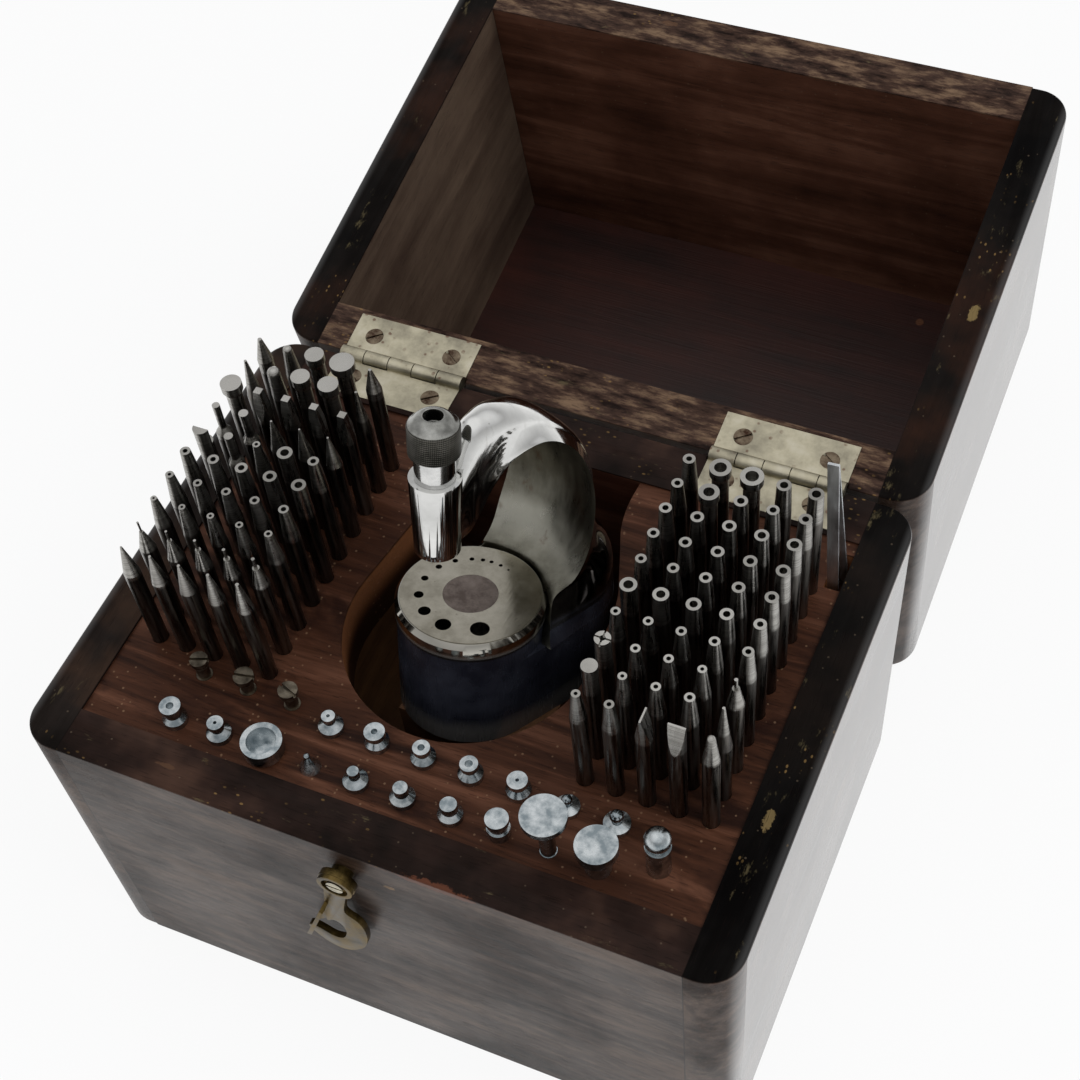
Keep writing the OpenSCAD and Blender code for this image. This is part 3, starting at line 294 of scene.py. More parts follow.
def wood_grain(tree, coords, axis, warp=0.0):
    """Broad figure, fibres and pores of sawn wood, each from 0 to 1, with the grain along one axis."""
    figure = noise(tree, mapped(tree, coords, grain_scale(axis, 9, 95)), 1.0, 5.0, 0.6, 0.6 + warp)
    fibre = noise(tree, mapped(tree, coords, grain_scale(axis, 40, 1500)), 1.0, 3.0, 0.6)
    pores = noise(tree, mapped(tree, coords, grain_scale(axis, 180, 2600)), 1.0, 1.0)
    return figure, fibre, ramp(tree, pores, 0.62, 0.72)


def box_wood(name, axis, on_lid):
    """Old dark-stained box wood: grey-brown outside, red-brown inside, the rim darker with worn spots."""
    material, tree = new_material(name)
    coords = box_coords(tree, on_lid)
    x, y, z = split(tree, coords)
    figure, fibre, pores = wood_grain(tree, coords, axis)
    cloud = noise(tree, coords, 22.0, 4.0, 0.6)
    blend = blended(tree, figure, cloud, 0.55)
    mottle = noise(tree, mapped(tree, coords, grain_scale(axis, 80, 300)), 1.0, 5.0, 0.7)
    weathered = blended(tree, blend, mottle, 0.6)
    outside = tones(tree, weathered, (0.38, "120b08"), (0.5, "34261e"), (0.62, "57463a"))
    if on_lid:
        inside = tones(tree, blend, (0.34, "2b1912"), (0.5, "4e3023"), (0.66, "704b39"))
    else:
        inside = tones(tree, blend, (0.34, "24130d"), (0.5, "43261b"), (0.66, "64402f"))
    # Painted light: the left wall inside the lid is drawn lighter, as if lit from the right
    painted_light_left_wall = times(tree, maths(tree, "LESS_THAN", x, 0.0), 0.75 if on_lid and axis == 1 else 0.0)
    inside = mix(tree, painted_light_left_wall, inside, tones(tree, blend, (0.34, "82695a"), (0.66, "c2a68c")))
    # Rim: near black on the sides, warmer along the front, a tan crust on the lid's
    if axis == 0 and on_lid:
        rim = tones(tree, mottle, (0.36, "1d1411"), (0.5, "43322a"), (0.66, "79624e"))
    elif axis == 0:
        rim = tones(tree, cloud, (0.38, "15100e"), (0.52, "281c18"), (0.68, "4a352b"))
    elif on_lid:
        rim = tones(tree, cloud, (0.38, "060505"), (0.52, "0e0a08"), (0.68, "26150d"))
    else:
        lighter = tones(tree, cloud, (0.38, "110e0c"), (0.52, "201a17"), (0.68, "39291f"))
        darker = tones(tree, cloud, (0.38, "040303"), (0.52, "090706"), (0.68, "150e0a"))
        rim = mix(tree, maths(tree, "GREATER_THAN", x, 0.0), lighter, darker)
    half_in = (IN_BACK - IN_FRONT) / 2
    middle = (IN_BACK + IN_FRONT) / 2
    across = maths(tree, "ABSOLUTE", x)
    side = minus(tree, across, IN_X)
    ends = minus(tree, maths(tree, "ABSOLUTE", minus(tree, y, middle)), half_in)
    out_by = maths(tree, "MAXIMUM", side, ends)
    within = ramp(tree, out_by, 0.3 * MM, 0.05 * MM)
    edge_gap = maths(tree, "ABSOLUTE", minus(tree, z, HINGE.z))
    on_rim = ramp(tree, edge_gap, 0.9 * MM, 0.35 * MM)
    colour = mix(tree, within, outside, inside)
    colour = mix(tree, on_rim, colour, rim)
    # Worn arris along the rim: lighter, broken by noise
    patchy = ramp(tree, noise(tree, coords, 130.0, 4.0, 0.7), 0.48, 0.64)
    arris = times(tree, ramp(tree, edge_gap, 2.6 * MM, 0.4 * MM), patchy)
    off_rim = minus(tree, 1.0, on_rim)
    colour = stain(tree, colour, times(tree, arris, off_rim), 0.45, "5c3b2c")
    # Crusty greenish-tan patches and small tan spots on the rim
    fine = specks(tree, mapped(tree, coords, grain_scale(axis, 0.6, 1)), 760.0, 0.3, 0.4)
    gather = ramp(tree, noise(tree, coords, 48.0, 3.0, 0.6), 0.54, 0.66)
    spots = times(tree, times(tree, fine, gather), on_rim)
    colour = stain(tree, colour, spots, 0.55, "8d7045")
    clumps = noise(tree, mapped(tree, coords, grain_scale(axis, 60, 190)), 1.0, 5.0, 0.75)
    crust = times(tree, ramp(tree, clumps, 0.62, 0.72), on_rim)
    colour = stain(tree, colour, crust, 0.45, "6d6247")
    dust = specks(tree, coords, 420.0, 0.16, 0.18)
    colour = stain(tree, colour, dust, 0.25, "7b6c5a")
    for place, size, code in LID_MARKS if on_lid else BASE_MARKS:
        colour = stain(tree, colour, patch(tree, coords, place, size, 0.9), 0.6, code)
    # Joint line where the walls meet on the rim
    joint = ramp(tree, maths(tree, "ABSOLUTE", side), 0.22 * MM, 0.1 * MM)
    colour = stain(tree, colour, joint, 0.75, "0b0706")
    colour = stain(tree, colour, pores, 0.4, "120c0a")
    shade = plus(tree, times(tree, fibre, 0.5), 0.75)
    colour = mix(tree, 1.0, colour, shade, "MULTIPLY")
    gloss = plus(tree, times(tree, figure, 0.4), 0.2)
    gloss = plus(tree, gloss, times(tree, maths(tree, "MAXIMUM", on_rim, within), 0.16))
    sheen = plus(tree, times(tree, ramp(tree, blend, 0.4, 0.62), 0.26), 0.1)
    sheen = times(tree, sheen, minus(tree, 1.0, times(tree, on_rim, 0.75)))
    # Polish left on the two end faces, which mirror the table
    polish = ramp(tree, across, HALF_W - 3 * MM, HALF_W - 0.3 * MM)
    height = minus(tree, times(tree, fibre, 0.4), times(tree, pores, 0.6))
    coat = {"Coat_Weight": polish, "Coat_Roughness": 0.22}
    finish_material(tree, colour, gloss, height, 0.08, Specular_IOR_Level=sheen, **coat)
    return material


def board_wood():
    """Red-brown oiled board with dark handling stains and a lighter cut edge round the well."""
    material, tree = new_material("board_oiled_red_brown_wood")
    coords = object_coords(tree)
    z = split(tree, coords)[2]
    figure, fibre, pores = wood_grain(tree, coords, 0, 0.8)
    handled = noise(tree, mapped(tree, coords, (1, 1.6, 1)), 26.0, 5.0, 0.65, 0.5)
    colour = tones(tree, figure, (0.34, "24130c"), (0.5, "43281b"), (0.66, "624030"))
    colour = stain(tree, colour, ramp(tree, handled, 0.52, 0.68), 0.75, "1c0d09")
    # The well's sawn side is lighter wood at its top; further down it is darkened as painted shade
    below = ramp(tree, z, BOARD_TOP - 0.2 * MM, BOARD_TOP - 1.2 * MM)
    colour = stain(tree, colour, below, 0.7, "94603e")
    painted_shade_in_well = ramp(tree, z, BOARD_TOP - 6 * MM, BOARD_TOP - 15 * MM)
    colour = stain(tree, colour, painted_shade_in_well, 0.92, "150a06")
    colour = stain(tree, colour, pores, 0.45, "1a0b07")
    dust = specks(tree, coords, 520.0, 0.22, 0.3)
    colour = stain(tree, colour, dust, 0.3, "a58568")
    shade = plus(tree, times(tree, fibre, 0.6), 0.7)
    colour = mix(tree, 1.0, colour, shade, "MULTIPLY")
    height = minus(tree, times(tree, fibre, 0.5), times(tree, pores, 0.6))
    gloss = plus(tree, times(tree, handled, 0.25), 0.36)
    finish_material(tree, colour, gloss, height, 0.1, Specular_IOR_Level=0.1)
    return material


def plain_wood(name, dark, light, axis, on_lid=False):
    """Unfinished or thinly stained wood of the hidden panels."""
    material, tree = new_material(name)
    coords = box_coords(tree, on_lid)
    figure, fibre, pores = wood_grain(tree, coords, axis)
    cloud = noise(tree, coords, 30.0, 4.0, 0.6)
    blend = blended(tree, figure, cloud, 0.6)
    colour = tones(tree, blend, (0.34, dark), (0.66, light))
    colour = mix(tree, times(tree, pores, 0.5), colour, linear(dark))
    chips = specks(tree, coords, 90.0, 0.16, 0.2)
    colour = stain(tree, colour, chips, 0.5, "8b5a3a")
    shade = plus(tree, times(tree, fibre, 0.5), 0.75)
    colour = mix(tree, 1.0, colour, shade, "MULTIPLY")
    finish_material(tree, colour, 0.55, fibre, 0.1)
    return material


def rusty_plate():
    """Yellowed nickel plate with rust spots and rubbed patches."""
    material, tree = new_material("hinge_yellowed_nickel_plate")
    coords = object_coords(tree)
    cloud = noise(tree, coords, 70.0, 5.0, 0.65)
    colour = tones(tree, cloud, (0.35, "8a8474"), (0.55, "b9b29c"), (0.72, "cfc9b8"))
    rust = times(tree, specks(tree, coords, 420.0, 0.34, 0.5), ramp(tree, cloud, 0.55, 0.42))
    colour = stain(tree, colour, rust, 0.8, "5b3a24")
    brushed = noise(tree, mapped(tree, coords, (60, 2200, 2200)), 1.0, 2.0)
    gloss = plus(tree, times(tree, cloud, 0.35), 0.24)
    metal = minus(tree, 1.0, times(tree, rust, 0.7))
    finish_material(tree, colour, gloss, brushed, 0.02, Metallic=metal)
    return material


def worn_metal(name, dark, light, rough_low, rough_high, scale=120.0, streak=None, bump_mm=0.015):
    """Metal whose tone and gloss wander with handling, with fine marks along one axis."""
    material, tree = new_material(name)
    coords = object_coords(tree)
    cloud = noise(tree, coords, scale, 4.0, 0.6)
    stretched = mapped(tree, coords, grain_scale(streak, 30, 1800)) if streak is not None else coords
    marks = noise(tree, stretched, 1.0 if streak is not None else 1600.0, 2.0)
    share = 0.35 if streak is not None else 0.15
    blend = blended(tree, cloud, marks, 1 - share)
    colour = tones(tree, blend, (0.36, dark), (0.64, light))
    gloss = spread(tree, cloud, (0.35, 0.65), (rough_low, rough_high))
    finish_material(tree, colour, gloss, marks, bump_mm, Metallic=1.0)
    return material


def tool_coords(tree, origin=PLATE):
    """Coordinates with Z up the tool's own axis, from the die plate's top or another place."""
    return mapped(tree, object_coords(tree), location=tuple(-(TO_TOOL @ origin)), rotation=(LEAN, 0, 0))


def cast_chrome():
    """Plated casting: bright above with stained vertical streaks; darkened brown towards the base and near
    black by the plate as painted shade, and a dark blue-grey painted reflection on the drum below.
    """
    material, tree = new_material("casting_worn_chrome_plate")
    coords = tool_coords(tree)
    x, y, z = split(tree, coords)
    cloud = noise(tree, coords, 60.0, 4.0, 0.6)
    streaks = noise(tree, mapped(tree, coords, (260, 260, 30)), 1.0, 4.0, 0.65)
    colour = tones(tree, cloud, (0.35, "c6c6c4"), (0.65, "e0e0de"))
    stained = ramp(tree, streaks, 0.56, 0.68)
    lower = ramp(tree, z, 44 * MM, 24 * MM)
    stained = times(tree, stained, plus(tree, times(tree, lower, 0.5), 0.1))
    colour = mix(tree, stained, colour, linear("5d5046"))
    pits = specks(tree, coords, 300.0, 0.16, 0.22)
    colour = stain(tree, colour, pits, 0.5, "4c443d")
    # Painted shade and painted dark reflection: the arm turns dark brown towards the base
    wander = plus(tree, z, times(tree, streaks, 9 * MM))
    brown = times(tree, ramp(tree, wander, 34 * MM, 14 * MM), 0.8)
    colour = mix(tree, brown, colour, linear("3d3027"))
    # Painted shade: near black low on the arm, next to the plate
    painted_shade_near_plate = ramp(tree, z, 9 * MM, 0)
    colour = stain(tree, colour, painted_shade_near_plate, 0.85, "1d1b1b")
    ring = times(tree, ramp(tree, z, -6 * MM, -4.8 * MM), ramp(tree, z, 0.4 * MM, 0))
    reach = from_axis(tree, x, y)
    ring = times(tree, ring, ramp(tree, reach, 21.3 * MM, 21.15 * MM))
    colour = mix(tree, ring, colour, linear("aaa79f"))
    # Below the plate the drum is painted dark blue-grey as a painted dark reflection, paler where worn at
    # the foot
    low = ramp(tree, z, -3.5 * MM, -6 * MM)
    painted_reflection_and_worn_foot = tones(tree, cloud, (0.38, "20222c"), (0.66, "3d404b"))
    worn_foot = ramp(tree, plus(tree, z, times(tree, cloud, 6 * MM)), -26 * MM, -32 * MM)
    painted_reflection_and_worn_foot = mix(tree, times(tree, worn_foot, 0.6), painted_reflection_and_worn_foot, linear("8c8a86"))
    colour = mix(tree, low, colour, painted_reflection_and_worn_foot)
    # Painted shade: a dark line in the groove round the drum
    painted_shade_groove = ramp(tree, maths(tree, "ABSOLUTE", plus(tree, z, 5.6 * MM)), 0.8 * MM, 0.3 * MM)
    colour = stain(tree, colour, painted_shade_groove, 0.85, "14120f")
    gloss = spread(tree, streaks, (0.4, 0.7), (0.06, 0.18))
    gloss = plus(tree, gloss, times(tree, low, 0.16))
    metal = minus(tree, 1.0, times(tree, low, 0.55))
    finish_material(tree, colour, gloss, cloud, 0.04, Metallic=metal)
    return material


def throat_satin():
    """Unplated face inside the arm: satin grey metal with a painted highlight band low down, and rust-brown
    patches.
    """
    material, tree = new_material("casting_throat_satin_grey")
    coords = tool_coords(tree)
    z = split(tree, coords)[2]
    cloud = noise(tree, coords, 55.0, 4.0, 0.6)
    marks = noise(tree, mapped(tree, coords, (300, 300, 60)), 1.0, 4.0, 0.6)
    blend = blended(tree, cloud, marks, 0.6)
    colour = tones(tree, blend, (0.36, "4d4b44"), (0.52, "6a685e"), (0.66, "86847a"))
    # Painted highlight: a lighter band about 8 mm above the plate
    painted_highlight_band = ramp(tree, maths(tree, "ABSOLUTE", minus(tree, z, 8 * MM)), 7 * MM, 1 * MM)
    colour = stain(tree, colour, painted_highlight_band, 0.7, "b5b3a8")
    flakes = noise(tree, mapped(tree, coords, (120, 120, 60), (3, 1, 7)), 1.0, 5.0, 0.7)
    colour = stain(tree, colour, ramp(tree, flakes, 0.56, 0.68), 0.55, "4e3626")
    gloss = spread(tree, marks, (0.35, 0.65), (0.26, 0.4))
    finish_material(tree, colour, gloss, marks, 0.03, Metallic=1.0)
    return material


def fine_knurl():
    """Cap of darkened steel: a fine crossed knurl round the drum, darker in its valleys as painted shade,
    and a lighter domed top.
    """
    material, tree = new_material("cap_knurled_steel")
    coords = tool_coords(tree, GUIDE)
    x, y, z = split(tree, coords)
    cloud = noise(tree, coords, 240.0, 4.0, 0.6)
    turn = times(tree, maths(tree, "ARCTAN2", y, x), 46.0)
    rise = times(tree, z, 5200.0)
    leading = maths(tree, "SINE", plus(tree, turn, rise))
    trailing = maths(tree, "SINE", minus(tree, turn, rise))
    cross = times(tree, leading, trailing)
    reach = from_axis(tree, x, y)
    drum = ramp(tree, reach, 6.35 * MM, 6.6 * MM)
    top = tones(tree, cloud, (0.36, "7c7c78"), (0.64, "a6a6a2"))
    # Painted shade: the knurl's valleys are drawn darker in the drum's colour
    drum_with_painted_shade = plus(tree, times(tree, cross, 0.35), cloud)
    drum_with_painted_shade = tones(tree, drum_with_painted_shade, (0.3, "2c2b27"), (0.75, "706e67"))
    colour = mix(tree, drum, top, drum_with_painted_shade)
    height = times(tree, cross, drum)
    gloss = plus(tree, times(tree, drum, 0.2), 0.2)
    finish_material(tree, colour, gloss, height, 0.12, Metallic=1.0)
    return material


def die_steel():
    """Ground die plate: satin steel with faint stains and light scratches across it."""
    material, tree = new_material("die_plate_ground_steel")
    coords = tool_coords(tree)
    cloud = noise(tree, coords, 80.0, 5.0, 0.65)
    scratch = noise(tree, mapped(tree, coords, (900, 90, 0), rotation=(0, 0, 0.6)), 1.0, 2.0)
    colour = tones(tree, cloud, (0.34, "8f8a7d"), (0.5, "a8a396"), (0.68, "b9b4a8"))
    spots = specks(tree, coords, 520.0, 0.2, 0.25)
    colour = stain(tree, colour, spots, 0.4, "6c6456")
    gloss = spread(tree, cloud, (0.35, 0.65), (0.12, 0.22))
    finish_material(tree, colour, gloss, scratch, 0.01, Metallic=1.0)
    return material


def punch_steel():
    """Punch steel: dark oiled shanks, each its own tone, with ends ground bright."""
    material, tree = new_material("punch_dark_steel_ground_tips")
    coords = object_coords(tree)
    z = split(tree, coords)[2]
    cell = whole_part(tree, mapped(tree, coords, PUNCH_CELLS))
    own = add(tree, "ShaderNodeTexWhiteNoise", {"Vector": cell}).outputs["Value"]
    rough = noise(tree, mapped(tree, coords, (700, 700, 45)), 1.0, 4.0, 0.65)
    shank = tones(tree, rough, (0.35, "413e3b"), (0.62, "78746f"))
    shade = plus(tree, times(tree, own, 0.7), 0.55)
    shank = mix(tree, 1.0, shank, shade, "MULTIPLY")
    ring = noise(tree, mapped(tree, coords, (30, 30, 2600)), 1.0, 2.0)
    tip = tones(tree, ring, (0.36, "8f8d88"), (0.64, "bdbbb6"))
    start = plus(tree, PUNCH_TOP - 12.5 * MM, times(tree, own, 2.5 * MM))
    ground = ramp(tree, minus(tree, z, start), -0.6 * MM, 0.5 * MM)
    colour = mix(tree, times(tree, ground, 0.85), shank, tip)
    gloss = spread(tree, rough, (0.35, 0.65), (0.2, 0.42))
    finish_material(tree, colour, gloss, rough, 0.02, Metallic=1.0)
    return material


def stump_steel():
    """Stump steel, bright and blue-grey; the slotted heads at the back row's left are dull and tan."""
    material, tree = new_material("stump_bright_steel")
    coords = object_coords(tree)
    x, y = split(tree, coords)[:2]
    low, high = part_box("stumps_back_row")
    cloud = noise(tree, coords, 260.0, 4.0, 0.6)
    colour = tones(tree, cloud, (0.36, "7b858a"), (0.64, "c6cbcd"))
    dull = tones(tree, cloud, (0.36, "4f483f"), (0.64, "8d8475"))
    slotted = maths(tree, "LESS_THAN", x, low.x + (high.x - low.x) * SLOTTED_SHARE)
    slotted = times(tree, slotted, maths(tree, "GREATER_THAN", y, low.y - 1 * MM))
    colour = mix(tree, slotted, colour, dull)
    turned = noise(tree, mapped(tree, coords, (60, 60, 2600)), 1.0, 2.0)
    gloss = spread(tree, cloud, (0.35, 0.65), (0.14, 0.3))
    gloss = plus(tree, gloss, times(tree, slotted, 0.15))
    finish_material(tree, colour, gloss, turned, 0.01, Metallic=1.0)
    return material


def whole_part(tree, vector):
    """The whole-number part of a vector, one value for each cell."""
    node = add(tree, "ShaderNodeVectorMath", {0: vector, 1: (0.5, 0.5, 0.0)}, operation="ADD")
    return add(tree, "ShaderNodeVectorMath", {0: node.outputs[0]}, operation="FLOOR").outputs[0]


def paint(material, *nodes):
    """Gives a CAD node, or a piece, its one material."""
    for item in nodes:
        piece = NODES[item] if isinstance(item, str) else item
        piece.data.materials.clear()
        piece.data.materials.append(material)


def stand_in(mesh, node, sharp=35):
    """Makes a mesh the visual piece that stands for a CAD node."""
    bmesh.ops.recalc_face_normals(mesh, faces=mesh.faces)
    data = bpy.data.meshes.new(node + "_piece")
    mesh.to_mesh(data)
    mesh.free()
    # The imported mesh's own normals no longer fit the new faces
    if "custom_normal" in data.attributes:
        data.attributes.remove(data.attributes["custom_normal"])
    data.set_sharp_from_angle(angle=math.radians(sharp))
    for polygon in data.polygons:
        if polygon.area > FLAT_FROM:
            polygon.use_smooth = False
    piece = bpy.data.objects.new(node + "_piece", data)
    bpy.context.scene.collection.objects.link(piece)
    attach(piece, NODES[node]["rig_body"])
    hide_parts(node)
    return piece


def round_edges(mesh, edges, width_mm, segments=3):
    bmesh.ops.bevel(
        mesh,
        geom=edges,
        offset=width_mm * MM,
        offset_type="OFFSET",
        segments=segments,
        profile=0.5,
        affect="EDGES",
        material=-1,
        clamp_overlap=True,
    )


def eased(node, width_mm, chosen=None, segments=3, sharp=35):
    """A copy of a CAD node with its chosen sharp edges rounded; it stands for that node."""
    mesh = bmesh.new()
    mesh.from_mesh(NODES[node].data)
    bmesh.ops.remove_doubles(mesh, verts=mesh.verts, dist=0.001 * MM)
    bmesh.ops.dissolve_limit(mesh, angle_limit=math.radians(1), verts=mesh.verts, edges=mesh.edges)
    whole = [edge for edge in mesh.edges if edge.is_manifold]
    corners = [edge for edge in whole if edge.calc_face_angle() > math.radians(sharp)]
    round_edges(mesh, [edge for edge in corners if not chosen or chosen(edge)], width_mm, segments)
    return stand_in(mesh, node, sharp)


def outer_edge(node, on_lid):
    """Picks a wall's edges round its rim and its far side, not its holes or where it meets the next wall."""
    turn = Matrix.Rotation(LID_OPEN, 3, "X") if on_lid else Matrix.Identity(3)

    def closed(co):
        return turn @ (co - HINGE) + HINGE

    heights = [closed(vert.co).z for vert in NODES[node].data.vertices]
    levels = (min(heights), max(heights))

    def chosen(edge):
        ends = [closed(vert.co) for vert in edge.verts]
        along_joint = all(abs(abs(p.x) - IN_X) < 0.05 * MM for p in ends)
        return not along_joint and any(all(abs(p.z - z) < 0.05 * MM for p in ends) for z in levels)

    return chosen


def curve(values, x):
    """Smooth curve through a list of stations."""
    i = min(int(x), len(values) - 2)
    t = x - i
    a, b, c, d = (values[min(max(k, 0), len(values) - 1)] for k in (i - 1, i, i + 1, i + 2))
    return b + 0.5 * t * (c - a + t * (2 * a - 5 * b + 4 * c - d + t * (3 * b - a - 3 * c + d)))


def arm_place(s, off, h):
    """World place of a point of the arm, in mm: s along its heading, off to the right, h above the plate."""
    away = Vector((math.cos(HEADING), math.sin(HEADING)))
    right = Vector((away.y, -away.x))
    guide = GUIDE_IN_TOOL.to_2d()
    if h < 2:
        plate_s, plate_off = -guide.dot(away), -guide.dot(right)
        s = max(s, plate_s + math.sqrt(max(0, RING_CLEAR**2 - (off - plate_off) ** 2)))
    flat = guide + away * s + right * off
    return PLATE + TO_TOOL.transposed() @ Vector((flat.x, flat.y, h)) * MM


def side_width(u, x):
    """Half width of the section at station x, u from the rim to the back."""
    start, bead = curve(ROUND_FROM, x), curve(BEAD_AT, x)
    rim, back = curve(RIM_HALF, x), curve(BACK_HALF, x)
    if u < start:
        width = rim + (back - rim) * u / start
    else:
        width = back * math.sqrt(max(0, 1 - ((u - start) / (1 - start)) ** 2))
    if u <= bead:
        return width + curve(BEAD_OUT, x) * u / bead
    along = (u - bead) / (1 - bead)
    out = curve(BEAD_OUT, x) * math.exp(-((along / 0.1) ** 2))
    return width + out - curve(POCKET, x) * math.sin(math.pi * min(1, along / 0.7)) ** 2


def arm_ring(x):
    """Outline of the arm's section at station x: one side, the other side, then the throat."""
    bead = curve(BEAD_AT, x)
    steps = [bead * i / BEAD_STEPS for i in range(BEAD_STEPS)]
    steps += [bead + (1 - bead) * math.sin(math.pi / 2 * i / SIDE_STEPS) for i in range(SIDE_STEPS)]
    right = [(u, side_width(u, x)) for u in steps]
    left = [(u, -width) for u, width in reversed(right)]
    outline = right + [(1, 0)] + left
    rim = (curve(RIM_S, x), curve(RIM_H, x))
    back = (curve(BACK_S, x), curve(BACK_H, x))
    depth = math.hypot(back[0] - rim[0], back[1] - rim[1])
    for i in range(1, THROAT_STEPS):
        f = -1 + 2 * i / THROAT_STEPS
        outline.append((curve(DISH, x) * (1 - f * f) / depth, f * right[0][1]))
    run, rise = back[0] - rim[0], back[1] - rim[1]
    return [arm_place(rim[0] + run * u, off, rim[1] + rise * u) for u, off in outline]


def arm_piece():
    """The arm with its smooth skin, the bead and pocket of its neck and a satin throat."""
    mesh = bmesh.new()
    rings = []
    for k in range((len(RIM_S) - 1) * STATION_STEPS + 1):
        rings.append([mesh.verts.new(place) for place in arm_ring(k / STATION_STEPS)])
    count = len(rings[0])
    throat = count - THROAT_STEPS
    for low, high in zip(rings, rings[1:]):
        for j in range(count):
            n = (j + 1) % count
            skin = mesh.faces.new((low[j], low[n], high[n], high[j]))
            skin.material_index = 1 if j >= throat else 0
    mesh.faces.new(rings[0])
    mesh.faces.new(rings[-1])
    pairs = [(low[j], high[j]) for low, high in zip(rings, rings[1:]) for j in (0, throat)]
    rims = [mesh.edges.get(pair) for pair in pairs]
    round_edges(mesh, [edge for edge in rims if edge], 0.35, 2)
    return stand_in(mesh, "casting_arm", 50)


def tool_height(edge):
    """Height above the plate and distance from its middle of an edge's middle, in mm."""
    middle = TO_TOOL @ ((edge.verts[0].co + edge.verts[1].co) / 2 - PLATE) / MM
    return middle.z, math.hypot(middle.x, middle.y)


def ring_or_shoulder(edge):
    height, reach = tool_height(edge)
    return reach > 20.4 and (-2.2 < height < -1 or -11.5 < height < -10.5)


def cap_piece():
    """The cap as a smooth drum with a domed top; its knurl is in the material."""
    foot = CAP_FOOT - GUIDE_IN_TOOL.z
    mesh = bmesh.new()
    verts = [mesh.verts.new((r * MM, 0, (z + foot) * MM)) for r, z in CAP_PROFILE]
    edges = [mesh.edges.new(pair) for pair in zip(verts, verts[1:])]
    bmesh.ops.spin(
        mesh,
        geom=verts + edges,
        cent=(0, 0, 0),
        axis=(0, 0, 1),
        angle=math.tau,
        steps=CAP_STEPS,
        use_merge=True,
    )
    placed = Matrix.Translation(GUIDE) @ TO_TOOL.transposed().to_4x4()
    bmesh.ops.transform(mesh, matrix=placed, verts=mesh.verts)
    return stand_in(mesh, "knurled_cap", 50)


def dress_box():
    for body, on_lid in (("base", False), ("lid", True)):
        cross = box_wood(body + "_dark_stained_wood_across", 0, on_lid)
        along = box_wood(body + "_dark_stained_wood_along", 1, on_lid)
        for wall in ("front", "back"):
            node = f"{body}_{wall}_wall"
            paint(cross, eased(node, 0.8, outer_edge(node, on_lid)))
        for wall in ("left", "right"):
            node = f"{body}_{wall}_wall"
            paint(along, eased(node, 0.8, outer_edge(node, on_lid)))
    paint(board_wood(), "punch_board")
    paint(plain_wood("lid_panel_dark_red_wood", "180906", "3a1a12", 0, True), "lid_top_panel")
    inner = plain_wood("inner_unfinished_wood", "4a2f1c", "8a6240", 1)
    paint(inner, "base_floor", "board_bearers", "seat_block")


def dress_fittings():
    paint(rusty_plate(), "base_hinge_leaves", "lid_hinge_leaves", "hinge_pins")
    screws = worn_metal("hinge_screw_rusty_steel", "3a2920", "8d7f6c", 0.35, 0.6, 300.0)
    paint(screws, "base_hinge_screws", "lid_hinge_screws")
    brass = worn_metal("latch_dull_brass", "332a15", "75623a", 0.32, 0.5, 160.0)
    hook = eased("latch_hook", 0.3, sharp=40)
    paint(brass, hook, "latch_collar", "catch_pin")
    paint(worn_metal("latch_screw_steel", "77705f", "c9c2ad", 0.25, 0.45, 300.0), "latch_screw")
    paint(worn_metal("strip_satin_steel", "b9bcbe", "e4e7e9", 0.35, 0.5, 90.0, 2), "folded_strip")


def dress_tool():
    chrome = cast_chrome()
    paint(chrome, eased("casting_base", 0.9, ring_or_shoulder, 4), eased("casting_boss", 0.35))
    arm = arm_piece()
    for skin in (chrome, throat_satin()):
        arm.data.materials.append(skin)
    paint(die_steel(), "die_plate")
    paint(worn_metal("stud_brown_grey_steel", "5a504b", "857a74", 0.35, 0.5, 260.0), "plate_stud")
    paint(worn_metal("nut_steel", "777772", "a8a8a2", 0.3, 0.5), "clamp_nut")
    paint(worn_metal("sleeve_polished_chrome", "c2c2c1", "e2e2e0", 0.06, 0.16, 140.0), "guide_sleeve")
    paint(fine_knurl(), cap_piece())


def dress_punches():
    rows = [name for name in NODES if "_row_" in name and not name.startswith("stumps")]
    paint(punch_steel(), *rows)
    paint(stump_steel(), "stumps_back_row", "stumps_front_row", "stump_domed")


def add_camera():
    data = bpy.data.cameras.new("camera")
    data.lens = LENS_MM
    data.sensor_width = 36
    data.shift_y = SHIFT_Y
    data.clip_start = 0.01
    camera = bpy.data.objects.new("camera", data)
    bpy.context.scene.collection.objects.link(camera)
    sin_a, cos_a = math.sin(AZIMUTH), math.cos(AZIMUTH)
    sin_e, cos_e = math.sin(ELEVATION), math.cos(ELEVATION)
    back = Vector((sin_a * cos_e, -cos_a * cos_e, sin_e))
    level = Vector((cos_a, sin_a, 0))
    upward = Vector((-sin_a * sin_e, cos_a * sin_e, cos_e))
    right = level * math.cos(ROLL) + upward * math.sin(ROLL)
    up = upward * math.cos(ROLL) - level * math.sin(ROLL)
    turn = Matrix((right, up, back)).transposed().to_4x4()
    camera.matrix_world = Matrix.Translation(TARGET + back * DISTANCE) @ turn
    bpy.context.scene.camera = camera


def add_light(name, place, size, power, target=(0, 0.03, 0.1)):
    data = bpy.data.lights.new(name, "AREA")
    data.shape = "RECTANGLE"
    data.size = size[0]
    data.size_y = size[1]
    data.energy = power
    light = bpy.data.objects.new(name, data)
    light.location = place
    light.visible_glossy = False
    light.rotation_euler = (Vector(place) - Vector(target)).to_track_quat("Z", "Y").to_euler()
    bpy.context.scene.collection.objects.link(light)


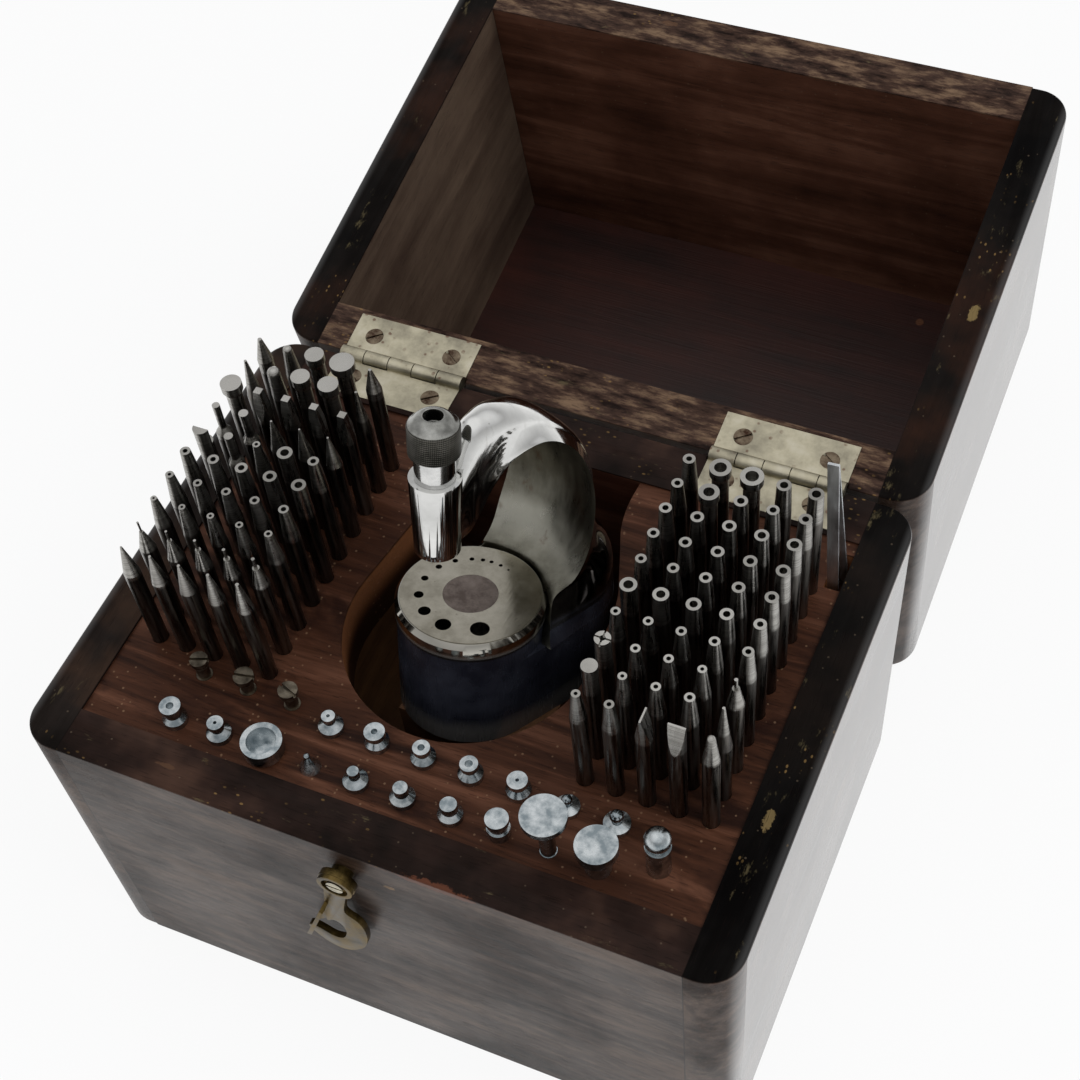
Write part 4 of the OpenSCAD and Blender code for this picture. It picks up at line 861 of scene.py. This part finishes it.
def by_ray(tree, seen, mirrored, lit):
    """One shader for the camera, one for reflections and one for the light that falls on things."""
    path = add(tree, "ShaderNodeLightPath")
    glossy, camera = path.outputs["Is Glossy Ray"], path.outputs["Is Camera Ray"]
    others = add(tree, "ShaderNodeMixShader", {0: glossy, 1: lit, 2: mirrored}).outputs[0]
    return add(tree, "ShaderNodeMixShader", {0: camera, 1: others, 2: seen}).outputs[0]


def add_stage():
    world = bpy.data.worlds.new("studio")
    bpy.context.scene.world = world
    world.use_nodes = True
    tree = world.node_tree
    tree.nodes.clear()
    lit = add(tree, "ShaderNodeBackground", {"Color": (0.94, 0.96, 1.0, 1), "Strength": 0.5}).outputs[0]
    # Metal mirrors the pale room, darker at middle height and brighter overhead
    aim = add(tree, "ShaderNodeTexCoord").outputs["Generated"]
    up = split(tree, aim)[2]
    sky = tones(tree, up, *SKY)
    mirrored = add(tree, "ShaderNodeBackground", {"Color": sky, "Strength": 1.0}).outputs[0]
    seen = add(tree, "ShaderNodeBackground", {"Color": (1, 1, 1, 1), "Strength": 1.0}).outputs[0]
    add(tree, "ShaderNodeOutputWorld", {"Surface": by_ray(tree, seen, mirrored, lit)})
    floor_mesh = bmesh.new()
    bmesh.ops.create_grid(floor_mesh, x_segments=1, y_segments=1, size=3)
    data = bpy.data.meshes.new("floor")
    floor_mesh.to_mesh(data)
    floor_mesh.free()
    floor = bpy.data.objects.new("floor", data)
    floor.location.z = -0.0002
    bpy.context.scene.collection.objects.link(floor)
    material, tree = new_material("floor_white_paper")
    paper = add(tree, "ShaderNodeBsdfDiffuse", {"Color": (0.86, 0.86, 0.86, 1)}).outputs[0]
    glow = add(tree, "ShaderNodeEmission", {"Color": (1, 1, 1, 1), "Strength": 1.0}).outputs[0]
    bright = add(tree, "ShaderNodeMixShader", {0: 0.9, 1: paper, 2: glow}).outputs[0]
    add(tree, "ShaderNodeOutputMaterial", {"Surface": by_ray(tree, bright, glow, paper)})
    paint(material, floor)
    add_light("key_softbox", (0.9, 0.1, 0.95), (1.0, 1.0), 8)
    add_light("front_softbox", (0.1, -1.0, 0.9), (1.2, 0.8), 3)
    add_light("left_fill", (-0.9, -0.2, 0.8), (0.8, 0.8), 2)
    bpy.context.scene.view_settings.view_transform = "Standard"


dress_box()
dress_fittings()
dress_tool()
dress_punches()
add_camera()
add_stage()
